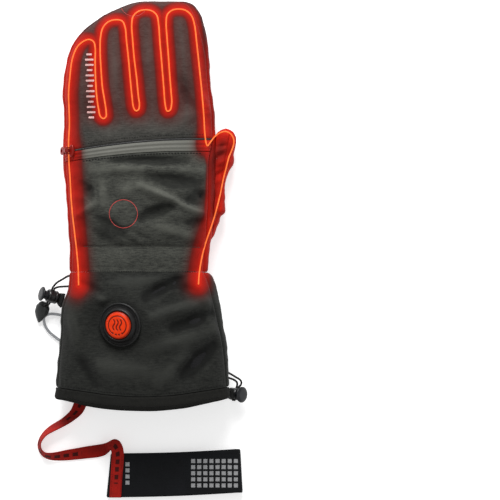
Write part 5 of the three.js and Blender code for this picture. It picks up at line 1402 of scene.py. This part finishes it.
LEASH = [PXY(*r) for r in [
    (79.6, 386.0, 7.9, 91.9, 388.5, 6.6), (76.4, 395.6, 8.2, 88.8, 398.2, 6.8), (73.4, 403.2, 8.0, 86.0, 405.8, 6.8), (69.8, 410.8, 5.4, 81.4, 414.2, 6.0),
    (62.0, 418.5, 2.6, 71.3, 422.2, 7.6), (55.4, 422.9, 1.0, 62.4, 427.2, 9.2), (49.4, 426.6, 0.8, 54.0, 431.4, 10.0), (43.4, 431.9, 0.7, 46.7, 435.4, 10.2),
    (38.9, 438.5, 0.7, 42.1, 440.3, 10.4), (37.1, 445.2, 0.7, 40.2, 445.0, 10.5), (38.5, 451.9, 0.7, 41.4, 450.2, 10.4), (42.3, 457.3, 0.7, 45.0, 453.0, 9.9),
    (48.8, 460.4, 0.8, 50.4, 453.4, 9.0), (57.0, 461.3, 0.9, 57.2, 452.4, 7.4), (66.0, 461.1, 1.0, 65.6, 450.6, 5.4), (76.0, 460.3, 1.0, 75.0, 449.0, 3.8),
    (88.0, 459.1, 1.0, 86.6, 446.9, 2.6), (99.0, 457.7, 1.1, 97.4, 445.3, 2.4), (104.8, 455.7, 1.6, 103.0, 444.2, 3.8), (108.3, 452.9, 3.2, 107.3, 442.6, 7.2),
    (110.0, 451.0, 5.9, 111.0, 440.4, 10.4), (110.7, 450.6, 8.6, 115.0, 439.3, 12.4), (111.0, 451.6, 10.4, 119.2, 441.2, 13.0), (111.2, 453.4, 11.1, 122.2, 446.0, 12.2),
    (111.3, 456.6, 10.7, 123.7, 453.4, 11.2), (111.1, 462.0, 10.1, 123.5, 461.4, 10.2), (110.4, 475.0, 10.05, 122.2, 475.0, 10.05), (109.0, 498.1, 10.05, 120.8, 498.1, 10.05)]]
LEASH_M = webbing("red_webbing", srgb(160, 24, 16), srgb(30, 8, 7), [(6.2, 10.9, 0.78, 0.62, 0.17), (14.2, 17.6, 0.66, 0.60, 0.16), (1.4, 3.4, 0.8, 0.6, 0.12)])
leash, leash_mid, leash_s, leash_faces = ribbon_object("leash_webbing", LEASH, 420, 14, 1.15, [LEASH_M], slot="red_webbing", replaces="leash_strap")

TAB_M = webbing("tab_webbing", srgb(30, 30, 30), width_mm=11.0)
WRIST_TAB = [[-61.2, -45.6, 17.0, -65.0, -57.6, 16.6], [-63.6, -45.4, 13.6, -66.8, -56.0, 13.2], [-66.0, -45.3, 9.6, -68.2, -54.0, 9.2]]
HEM_TAB = [[79.9, -126.4, 19.8, 79.9, -135.0, 19.8], [80.8, -126.6, 17.6, 80.8, -135.0, 17.6], [81.7, -126.8, 16.2, 81.7, -135.0, 16.2]]
wrist_tab = ribbon_object("wrist_tab_webbing", WRIST_TAB, 30, 14, 1.35, [TAB_M], slot="tab_webbing", replaces="wrist_tab")[0]
hem_tab = ribbon_object("hem_tab_webbing", HEM_TAB, 16, 12, 1.35, [TAB_M], slot="tab_webbing", replaces="hem_tab")[0]

# ---------------------------------------------------------------- cord end and clear loop
END_TOP, END_TIP = np.array([-79.0, -52.6, 7.6]), np.array([-84.2, -70.2, 3.0])
END_ROWS = Table([[0, 2.6, 1.6, 1.6], [0.12, 4.6, 2.4, 2.6], [0.3, 5.9, 3.0, 3.4], [0.5, 5.9, 3.0, 3.3], [0.7, 4.5, 2.6, 2.6], [0.88, 2.3, 1.9, 1.6], [1, 0.6, 0.6, 0.5]])
down = END_TIP - END_TOP
across_e = np.array([-down[1], down[0], 0]) / np.hypot(down[0], down[1])
up_e = np.cross(down, across_e)
up_e /= np.linalg.norm(up_e)
up_e *= np.sign(up_e[2])
share = np.concatenate([[0.0], 0.5 - 0.5 * np.cos(np.linspace(0.18, np.pi - 0.12, 50)), [1.0]])
tt = np.arange(64) / 64 * 2 * np.pi
half, lo_, hi_ = END_ROWS(share, 1), END_ROWS(share, 2), END_ROWS(share, 3)
ridge = np.abs(np.sin(tt)) ** 1.35 * np.sign(np.sin(tt))           # a soft ridge along the middle of each face
zz = np.where(ridge[None, :] >= 0, hi_[:, None] * ridge[None, :], lo_[:, None] * ridge[None, :])
band_cut = 1 - 0.05 * np.exp(-(((share - 0.16) / 0.03) ** 2))[:, None]
rings = END_TOP + share[:, None, None] * down + (half[:, None] * np.cos(tt)[None, :] * band_cut)[..., None] * across_e + (zz * band_cut)[..., None] * up_e
pts, faces = loft_mesh(rings)
LOOP = [[-66.0, -63.9, 1.9], [-71.0, -63.1, 2.3], [-76.0, -63.3, 3.6], [-79.4, -65.6, 4.0], [-79.6, -69.4, 3.0], [-78.6, -73.4, 2.0], [-75.4, -78.2, 1.7],
        [-70.6, -82.4, 1.6], [-65.6, -85.8, 1.6], [-61.6, -86.2, 1.6], [-59.0, -82.4, 1.6], [-58.2, -75.6, 1.6], [-59.2, -68.8, 1.6], [-62.0, -65.2, 1.7]]
cutters = []
for key in ("wrist_cord_a", "wrist_cord_b"):
    c = tube_mesh(resample(CORDS[key][-4:], step=0.6), (CORD_D + 0.8) / 2, 16)
    cutters.append((c[0], c[1]))
c = tube_mesh(resample(LOOP[:6], step=0.7), (2.5 + 0.9) / 2, 20)
cutters.append((c[0], c[1]))
END_M = moulded("cord_end_rubber", srgb(50, 52, 52), 0.40, 900, 0.00004, wear=srgb(92, 94, 95))
cut_and_dress("cord_end_moulding", pts, faces, cutters, END_M, replaces="cord_end", slot="cord_end_rubber")

m = Nodes("clear_loop")
m.b.inputs["Base Color"].default_value = (0.36, 0.37, 0.385, 1)
m.b.inputs["Transmission Weight"].default_value = 0.85
m.b.inputs["IOR"].default_value = 1.5
m.to(m.range(m.noise(m.coord, 240.0, 3.0), 0.3, 0.7, 0.06, 0.16), m.b.inputs["Roughness"])
m.to(m.bump(m.noise(m.coord, 420.0, 2.0), 0.15, 0.00005), m.b.inputs["Normal"])
loop_path = resample(LOOP, step=0.7, closed=True)[:-1]
pts, faces, uv, _ = tube_mesh(loop_path, 1.25, 20, closed=True)
make("clear_wire_loop", pts, faces, [m.mat], slot="clear_loop", replaces="wire_loop")

# ---------------------------------------------------------------- elastic wrist band
BAND = dict(top=[[-22.9, -181.9], [88.1, -178.3]], low=[[-26.8, -219.3], [90.0, -215.3]], bow=0.9)
BAND_H, BAND_T = 9.0, 1.6


def band_point(u, v, inset):
    r = BAND_H / 2 - inset
    s = (v * 4) % 4
    a1, a3 = np.pi / 2 - (s - 1) * np.pi, -np.pi / 2 - (s - 3) * np.pi
    f = np.select([s < 1, s < 2, s < 3], [s, 1.0 + 0 * s, 3 - s], 0.0)
    z = np.select([s < 1, s < 2, s < 3], [BAND_H / 2 + r + 0 * s, BAND_H / 2 + r * np.sin(a1), BAND_H / 2 - r + 0 * s], BAND_H / 2 + r * np.sin(a3))
    dx = np.select([s < 1, s < 2, s < 3], [0 * s, r * np.cos(a1), 0 * s], r * np.cos(a3))
    k = BAND_H / 2
    top, low = BAND["top"], BAND["low"]
    xt = top[0][0] + k + (top[1][0] - top[0][0] - 2 * k) * f
    xl = low[0][0] + k + (low[1][0] - low[0][0] - 2 * k) * f
    yt = top[0][1] + (top[1][1] - top[0][1]) * f - BAND["bow"] * np.sin(np.pi * f)
    yl = low[0][1] + (low[1][1] - low[0][1]) * f - BAND["bow"] * np.sin(np.pi * f)
    return np.stack([xt + (xl - xt) * u + dx, yt + (yl - yt) * u, z], -1)


nb, mb = R(44), R(400)
vs = np.arange(mb) / mb
# more columns on the long faces than round the two bends
seg = np.array([0, 1, 2, 3, 4]) / 4.0
w = np.array([0.44, 0.06, 0.44, 0.06])
cum = np.concatenate([[0], np.cumsum(w)])
vv = np.interp(vs, cum, seg)
U, Vv = np.meshgrid(np.linspace(0, 1, nb + 1), vv, indexing="ij")
outer, inner = band_point(U, Vv, 0.0), band_point(U, Vv, BAND_T)
n = grid_normals(outer, True)
if ((outer - outer.mean((0, 1))) * n).sum() < 0:
    n = -n
flat_top = np.exp(-((np.abs(U - 0.5) * 2) ** 8))
x, y = outer[..., 0], outer[..., 1]
seated = smooth(1.0, 6.0, outer[..., 2])
ripple = 0.30 * noise(outer, 26.0, 3) + 0.10 * np.sin(x * 0.55 + 0.8 * np.sin(y * 0.2)) + 0.06 * np.sin(y * 2 * np.pi / 2.6)
under_strap = np.exp(-(((x + 21.5) / 6.0) ** 2)) * smooth(7.0, 8.6, outer[..., 2])
sel = np.clip(np.abs(U * 2 - 1) * 1.0, 0, 1)
edge_thin = round_in((1 - sel) * 19.0, 1.3, 0.55)
outer = outer + n * ((ripple - 0.30) * seated - edge_thin - 0.25 * under_strap)[..., None]
outer[..., 2] = np.maximum(outer[..., 2], 0.0)
faces, kind = wall_faces(nb, mb, True)
pts = np.concatenate([outer.reshape(-1, 3), inner.reshape(-1, 3)])
m = Nodes("band_elastic")
sep = m.new("ShaderNodeSeparateXYZ")
m.to(m.scaled(1, 1, 1, (0, 0, -0.036)), sep.inputs[0])
knit = m.math("SINE", m.math("MULTIPLY", sep.outputs[1], 2 * math.pi / 0.00085))
fine = m.math("SINE", m.math("MULTIPLY", sep.outputs[0], 2 * math.pi / 0.0007))
nz = m.noise(m.coord, 1600.0, 2.0)
cloud = m.noise(m.coord, 45.0, 3.0)
base = m.ramp(m.math("ADD", m.math("MULTIPLY", nz, 0.5), m.math("MULTIPLY", cloud, 0.5)), [(0.34, srgb(12, 13, 14)), (0.66, srgb(27, 28, 31))])
# plain woven pattern: a block of small grey squares on each part of the face, their edges a little uneven
split = m.new("ShaderNodeSeparateXYZ")
m.to(m.coord, split.inputs[0])
wob = m.math("MULTIPLY", m.math("SUBTRACT", m.noise(m.coord, 900.0, 2.0), 0.5), 0.0006)


def band_mask(x0, x1, y0, y1, pitch, share):
    cells = []
    for k, (lo_v, hi_v) in enumerate(((x0, x1), (y0, y1))):
        val = m.math("ADD", split.outputs[k], wob)
        inside = m.math("MULTIPLY", m.math("GREATER_THAN", val, lo_v), m.math("LESS_THAN", val, hi_v))
        cell = m.math("FRACT", m.math("DIVIDE", m.math("SUBTRACT", val, lo_v), pitch))
        cells.append(m.math("MULTIPLY", inside, m.math("LESS_THAN", cell, share)))
    return m.math("MULTIPLY", cells[0], cells[1])


bx0, bx1 = (metres([px(191, 0)[0], 0, 0])[0], metres([px(239.6, 0)[0], 0, 0])[0])
by0, by1 = (metres([0, px(0, 488)[1], 0])[1], metres([0, px(0, 459)[1], 0])[1])
cx0, cx1 = (metres([px(125.2, 0)[0], 0, 0])[0], metres([px(130.6, 0)[0], 0, 0])[0])
mark = m.math("MAXIMUM", band_mask(bx0, bx1, by0, by1, 0.00520, 0.66), band_mask(cx0, cx1, by0 + 0.0024, by1 - 0.0024, 0.00520, 0.66))
mark = m.math("MULTIPLY", mark, m.math("GREATER_THAN", split.outputs[2], 0.0055))
grey = m.ramp(nz, [(0.3, srgb(122, 122, 124)), (0.7, srgb(168, 169, 170))])
m.to(m.mix(mark, base, grey), m.b.inputs["Base Color"])
hgt = m.math("ADD", m.math("MULTIPLY", m.math("MULTIPLY", knit, fine), 0.6), m.math("MULTIPLY", mark, 0.9))
m.to(m.bump(hgt, 0.6, 0.00016), m.b.inputs["Normal"])
m.to(m.range(cloud, 0.3, 0.7, 0.76, 0.9), m.b.inputs["Roughness"])
m.b.inputs["Specular IOR Level"].default_value = 0.12
BAND_M = m.mat
band = make("wrist_band_elastic", pts, faces, [BAND_M], slot="band_elastic", replaces="wrist_band", sharp=70)

# ---------------------------------------------------------------- zip
m = Nodes("zip_coil_plastic")
n1 = m.noise(m.coord, 800.0, 2.0)
m.to(m.ramp(n1, [(0.3, srgb(18, 18, 18)), (0.7, srgb(36, 36, 36))]), m.b.inputs["Base Color"])
m.to(m.range(n1, 0.3, 0.7, 0.38, 0.55), m.b.inputs["Roughness"])
m.to(m.bump(n1, 0.3, 0.00005), m.b.inputs["Normal"])
COIL_M = m.mat
nu_, nv_ = 8, R(620)
uu_, vv_ = np.meshgrid(np.linspace(0, 1, nu_ + 1), np.linspace(0, 1, nv_ + 1), indexing="ij")
zl, zh = (lambda x: ZIP_TOP(x, 1) - 1.1), (lambda x: ZIP_TOP(x, 1) + 0.35)
co_, ci_ = back_point(HAND, 79, zl, zh, uu_, vv_, 0.0), back_point(HAND, 79, zl, zh, uu_, vv_, WALL_HAND - 1.0)
n = grid_normals(co_)
n = n if n[..., 2].mean() > 0 else -n
run = np.concatenate([np.zeros((nu_ + 1, 1)), np.cumsum(np.linalg.norm(np.diff(co_, axis=1), axis=-1), 1)], 1)
tooth = 0.5 + 0.5 * np.cos(run / 1.35 * 2 * np.pi + np.where(uu_ > 0.5, np.pi, 0) * 0 + (uu_ - 0.5) * 1.2)
co_ = co_ + n * (0.45 * tooth * np.sin(uu_ * np.pi) ** 0.7 - 0.75)[..., None]
faces, _ = wall_faces(nu_, nv_)
make("zip_teeth", np.concatenate([co_.reshape(-1, 3), ci_.reshape(-1, 3)]), faces, [COIL_M], slot="zip_plastic", replaces="zip_coil", sharp=65)

m = Nodes("zip_metal")
cloud = m.noise(m.coord, 300.0, 3.0)
base = m.mix(m.range(m.noise(m.coord, 700.0, 4.0, 0.7), 0.58, 0.76, 0.0, 0.55), m.ramp(cloud, [(0.35, srgb(24, 24, 26)), (0.65, srgb(44, 44, 46))]), srgb(110, 108, 106))
# painted red glow on the slider and pull, as on the cloth beside the heating wire
m.to(add_painted_glow(m, base, 0.25), m.b.inputs["Base Color"])
m.b.inputs["Metallic"].default_value = 0.35
m.to(m.range(cloud, 0.3, 0.7, 0.28, 0.42), m.b.inputs["Roughness"])
m.to(m.bump(m.noise(m.coord, 1500.0, 2.0), 0.2, 0.00004), m.b.inputs["Normal"])
ZIP_METAL_M = m.mat
SX, SY, BAR = -53.6, 75.4, np.array([-2.6, 0.0, 3.7])
zn = zip_normal(np.array(SX), np.array(SY))
zc = np.array([SX, SY, float(top_z(SX, SY))]) + zn * 2.3
zside = np.array([0, 1.0, 0]) - zn * zn[1]
zside /= np.linalg.norm(zside)
zrun = np.cross(zside, zn)
BASIS = np.stack([zrun, zside, zn])             # rows: run, side, normal


def outline_rings(half_x, half_y, levels, power=2.6, n=64):
    """Stacked superellipse outlines; levels are height and share of the size."""
    t = np.arange(n) / n * 2 * np.pi
    c = np.sign(np.cos(t)) * np.abs(np.cos(t)) ** (2 / power)
    s = np.sign(np.sin(t)) * np.abs(np.sin(t)) ** (2 / power)
    return np.stack([np.stack([(half_x - k) * c, (half_y - k) * s, np.full(n, z)], -1) for z, k in levels])


def dress(o, mat, node, painted_glow=0.0, body=BODY, angle=38):
    me = o.data
    me.materials.clear()
    me.materials.append(mat)
    me.polygons.foreach_set("use_smooth", np.full(len(me.polygons), True))
    me.set_sharp_from_angle(angle=math.radians(angle))
    # painted red glow, even over the whole piece
    if painted_glow:
        a = me.attributes.get("painted_glow") or me.attributes.new("painted_glow", "FLOAT", "POINT")
        a.data.foreach_set("value", np.full(len(me.vertices), painted_glow, np.float32))
    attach(o, body)
    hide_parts(node)
    return o


body_levels = [(-1.3, 0.5), (-1.05, 0.12), (-0.8, 0.0), (0.55, 0.0), (0.95, 0.18), (1.2, 0.55), (1.3, 1.1)]
pts, faces = loft_mesh(outline_rings(2.4, 5.2, body_levels, 2.4))
slider = raw_object("zip_slider_body", pts @ BASIS + zc, faces)
for s in (1, -1):
    lv = [(1.0, 0.0), (4.0, 0.0), (4.4, 0.12), (4.55, 0.3)]
    p, f = loft_mesh(outline_rings(0.9, 0.45, lv, 4, 24) + np.array([BAR[0] + 0.2, s * 2.55, 0]))
    slider = boolean(slider, raw_object("post", p @ BASIS + zc, f), "UNION")
p, f, _, _ = tube_mesh(np.array([[BAR[0], -3.0 + 0.3 * k, BAR[2]] for k in range(21)]), 0.7, 20)
slider = boolean(slider, raw_object("bar", p @ BASIS + zc, f), "UNION")
dress(slider, ZIP_METAL_M, "zip_slider", 0.62)
hinge = zc + BAR @ BASIS
pdir = np.array([-0.45, -0.16, -0.88])
pdir = pdir - zside * pdir.dot(zside)
pdir /= np.linalg.norm(pdir)
pface = np.cross(pdir, zside)
PB = np.stack([pdir, zside, pface])
eye = turned_mesh(round_profile([[0, -1.7], [2.0, -1.7], [2.0, 1.7], [0, 1.7]], 0.3), 40)
eye_p = eye[0][:, [0, 2, 1]] * np.array([1, 1, -1])
pull = raw_object("zip_pull_tab", eye_p @ PB + hinge, eye[1])
hole = turned_mesh([[0, -3], [1.15, -3], [1.15, 3], [0, 3]], 32)
neck = loft_mesh(outline_rings(1.5, 1.5, [(-0.9, 0.15), (-0.7, 0), (0.7, 0), (0.9, 0.15)], 6, 32) + np.array([2.6, 0, 0]))
pull = boolean(pull, raw_object("neck", neck[0] @ PB + hinge, neck[1]), "UNION")
tab_levels = [(-0.9, 0.3), (-0.75, 0.08), (-0.6, 0), (0.6, 0), (0.75, 0.08), (0.9, 0.3)]
tab = loft_mesh(outline_rings(4.15, 3.5, tab_levels, 3.2, 72) + np.array([3.2 + 4.15, 0, 0]))
pull = boolean(pull, raw_object("tab", tab[0] @ PB + hinge, tab[1]), "UNION")
pull = boolean(pull, raw_object("eye_hole", hole[0][:, [0, 2, 1]] * np.array([1, 1, -1]) @ PB + hinge, hole[1]))
slot_cut = loft_mesh(outline_rings(1.5, 1.6, [(-3, 0), (3, 0)], 3, 40) + np.array([8.7, 0, 0]))
pull = boolean(pull, raw_object("tab_hole", slot_cut[0] @ PB + hinge, slot_cut[1]))
dress(pull, ZIP_METAL_M, "zip_pull", 0.55, "pull")


# ---------------------------------------------------------------- stitches, rings and prints laid on the finished cloth
def thread(name, colour, colour2, rough=0.7, glow_halo_on=0.0):
    m = Nodes(name)
    n = m.noise(m.coord, 2200.0, 2.0)
    m.to(m.ramp(n, [(0.3, colour), (0.7, colour2)]), m.b.inputs["Base Color"])
    m.to(m.bump(n, 0.4, 0.00008), m.b.inputs["Normal"])
    m.to(m.range(n, 0.3, 0.7, rough, rough + 0.15), m.b.inputs["Roughness"])
    m.b.inputs["Specular IOR Level"].default_value = 0.15
    return m.mat


def stitch_row(name, line, trees, mat, pitch=2.3, long=1.55, radius=0.24, slot="hood_fabric", lift=0.02, least=0.012):
    """Row of short lockstitches: each a small arched thread whose ends go into the cloth."""
    xy = resample(np.asarray(line, float), step=pitch)
    pts, nor, keep = drop(trees, xy, least)
    all_p, all_f, base = [], [], 0
    for a in range(len(pts) - 1):
        if keep[a + 1] != keep[a] + 1:
            continue
        d = pts[a + 1] - pts[a]
        d = d / max(np.linalg.norm(d), 1e-6)
        n = nor[a] - d * nor[a].dot(d)
        n /= max(np.linalg.norm(n), 1e-6)
        s = np.linspace(-0.5, 0.5, 7)
        mid = (pts[a] + pts[a + 1]) / 2
        mid_n = (pts[a + 1] - pts[a]).dot(n) / 2
        path = mid + s[:, None] * long * d + ((lift + 0.10 - 1.5 * s**2) * 1.0)[:, None] * n
        p, f, _, _ = tube_mesh(path, radius, 8)
        all_p.append(p)
        for g_ in (f if isinstance(f, list) else [f]):
            all_f.append(np.asarray(g_) + base)
        base += len(p)
    if not all_p:
        return None
    by = {}
    for f in all_f:
        by.setdefault(f.shape[1], []).append(f)
    return make(name, np.vstack(all_p), [np.vstack(v_) for v_ in by.values()], [mat], outward=True, slot=slot)


DARK_THREAD = thread("dark_thread", srgb(12, 12, 12), srgb(26, 26, 25))
GREY_THREAD = thread("grey_thread", srgb(46, 46, 43), srgb(72, 72, 67))
PINK_THREAD = thread("pink_thread", srgb(168, 58, 56), srgb(205, 96, 92))
hand_tree, hood_tree, cuff_tree = surface_of("hand_cloth"), surface_of("hood_cloth"), surface_of("cuff_cloth")
below_zip = np.array([[x, float(ZIP_LOW(x, 1)) - 1.5] for x in np.linspace(-46, 55, 60)])
stitch_row("zip_stitches", below_zip, hand_tree, DARK_THREAD, 2.6, 1.6, 0.36, "shell_fabric")
above_zip = np.array([[x, float(ZIP_TOP(x, 1)) + 3.4] for x in np.linspace(-46, 57, 60)])
stitch_row("hood_edge_stitches", above_zip, hood_tree, DARK_THREAD, 2.2, 1.5, 0.20, "hood_fabric")
stitch_row("wrist_stitches_upper", STITCH_ROWS["wrist_up"], hand_tree, GREY_THREAD, 2.0, 1.35, 0.24, "shell_fabric")
stitch_row("wrist_stitches_lower", STITCH_ROWS["wrist_low"], surface_of("hand_cloth", "cuff_cloth"), DARK_THREAD, 2.0, 1.35, 0.24, "cuff_fabric")
above_hem = np.array([[x, float(HEM_SEAM(x, 1)) + 2.2] for x in np.linspace(-64, 74, 70)])
stitch_row("hem_stitches", above_hem, cuff_tree, DARK_THREAD, 2.4, 1.6, 0.28, "cuff_fabric")
low_hem = np.array([[x, float(HEM_LOW(x, 1)) + 4.0] for x in np.linspace(-60, 70, 60)])
stitch_row("hem_edge_stitches", low_hem, surface_of("cuff_hem_cloth"), DARK_THREAD, 2.4, 1.6, 0.26, "hem_tape")


def ring_line(cx, cy, r, a0, a1, n):
    t = np.radians(np.linspace(a0, a1, n))
    return np.stack([cx + r * np.cos(t), cy + r * np.sin(t)], -1)


cx_, cy_, r_ = MAGNETS[0]
stitch_row("magnet_ring_stitches", ring_line(cx_, cy_, r_, 0, 360, 90), hand_tree, PINK_THREAD, 1.15, 1.12, 0.30, "shell_fabric", 0.10)
cx_, cy_, r_ = MAGNETS[1]
stitch_row("hood_ring_stitches", ring_line(cx_, cy_, r_, 180, 330, 44), hood_tree, PINK_THREAD, 1.15, 1.12, 0.24, "hood_fabric", 0.06)

RED_THREAD = thread("red_thread", srgb(92, 14, 10), srgb(126, 24, 18))
strap_tree = surface_of("leash_webbing")
stitch_row("leash_stitches_right", [px(121.9, 457), px(121.4, 470), px(120.8, 483), px(119.7, 495)], strap_tree, RED_THREAD, 2.0, 1.3, 0.22, "red_webbing", least=0.004)
stitch_row("leash_stitches_left", [px(112.9, 459), px(112.4, 470), px(111.6, 483), px(110.6, 495)], strap_tree, RED_THREAD, 2.0, 1.3, 0.22, "red_webbing", least=0.004)

# plain reflective print on the hood: a short ladder of rounded bars
m = Nodes("reflective_print")
n_ = m.noise(m.coord, 1500.0, 2.0)
m.to(m.ramp(n_, [(0.3, srgb(176, 128, 126)), (0.7, srgb(214, 172, 168))]), m.b.inputs["Base Color"])
m.to(m.bump(n_, 0.3, 0.00004), m.b.inputs["Normal"])
m.to(m.range(n_, 0.3, 0.7, 0.4, 0.55), m.b.inputs["Roughness"])
PRINT_M = m.mat
bars_p, bars_f, base = [], [], 0
for k in range(13):
    s = k / 12.0
    c = np.array(px(89.6 + 2.4 * s, 55.0 + 63.0 * s))
    half = 3.6 if k % 3 else 2.4
    xs = np.linspace(-half, half, 11)
    cols = []
    for w_ in (-0.8, -0.45, 0.0, 0.45, 0.8):
        round_end = np.sqrt(np.clip(1 - (np.abs(w_) / 1.0) ** 2, 0, 1)) * 0.8 - 0.8
        cols.append(np.stack([c[0] + xs * (half + round_end) / half, np.full(11, c[1] + w_)], -1))
    xy = np.array(cols).reshape(-1, 2)
    pts_, nor_, keep_ = drop(hood_tree, xy)
    if len(keep_) < len(xy):
        continue
    top_ = (pts_ + nor_ * 0.22).reshape(5, 11, 3)
    low_ = (pts_ - nor_ * 0.15).reshape(5, 11, 3)
    f, _k = wall_faces(4, 10)
    bars_p.append(np.concatenate([top_.reshape(-1, 3), low_.reshape(-1, 3)]))
    bars_f.append(f + base)
    base += 110
make("hood_print_bars", np.vstack(bars_p), np.vstack(bars_f), [PRINT_M], slot="hood_fabric", sharp=50)


# ---------------------------------------------------------------- floor and light
def plane(name, size, z):
    me = bpy.data.meshes.new(name)
    c = metres([96.05, -8.5, 0])
    me.from_pydata([(c[0] - size, c[1] - size, z), (c[0] + size, c[1] - size, z), (c[0] + size, c[1] + size, z), (c[0] - size, c[1] + size, z)], [], [(0, 1, 2, 3)])
    o = bpy.data.objects.new(name, me)
    scene.collection.objects.link(o)
    return o


floor = plane("floor", 6.0, -0.0002)
m = Nodes("floor_white")
cloud = m.noise(m.coord, 3.0, 2.0)
m.to(m.ramp(cloud, [(0.3, (0.78, 0.78, 0.78, 1)), (0.7, (0.80, 0.80, 0.80, 1))]), m.b.inputs["Base Color"])
m.b.inputs["Roughness"].default_value = 0.9
m.b.inputs["Specular IOR Level"].default_value = 0.1
m.b.inputs["Emission Color"].default_value = (1.0, 1.0, 1.0, 1)
m.b.inputs["Emission Strength"].default_value = 0.56
floor.data.materials.append(m.mat)

world = bpy.data.worlds.new("studio")
scene.world = world
world.use_nodes = True
world.node_tree.nodes["Background"].inputs[0].default_value = (1.0, 1.0, 1.0, 1)
world.node_tree.nodes["Background"].inputs[1].default_value = 0.36


def area(name, loc, target, size, power):
    d = bpy.data.lights.new(name, "AREA")
    d.shape, d.size, d.energy = "SQUARE", size, power
    o = bpy.data.objects.new(name, d)
    o.location = Vector(loc)
    o.rotation_euler = (Vector(target) - Vector(loc)).to_track_quat("-Z", "Y").to_euler()
    scene.collection.objects.link(o)
    return o


area("key", (-0.15, 1.35, 1.02), (0.0, 0.0, 0.02), 0.9, 38.0)
area("fill", (1.1, -0.5, 1.3), (0.0, 0.0, 0.02), 1.2, 4.0)
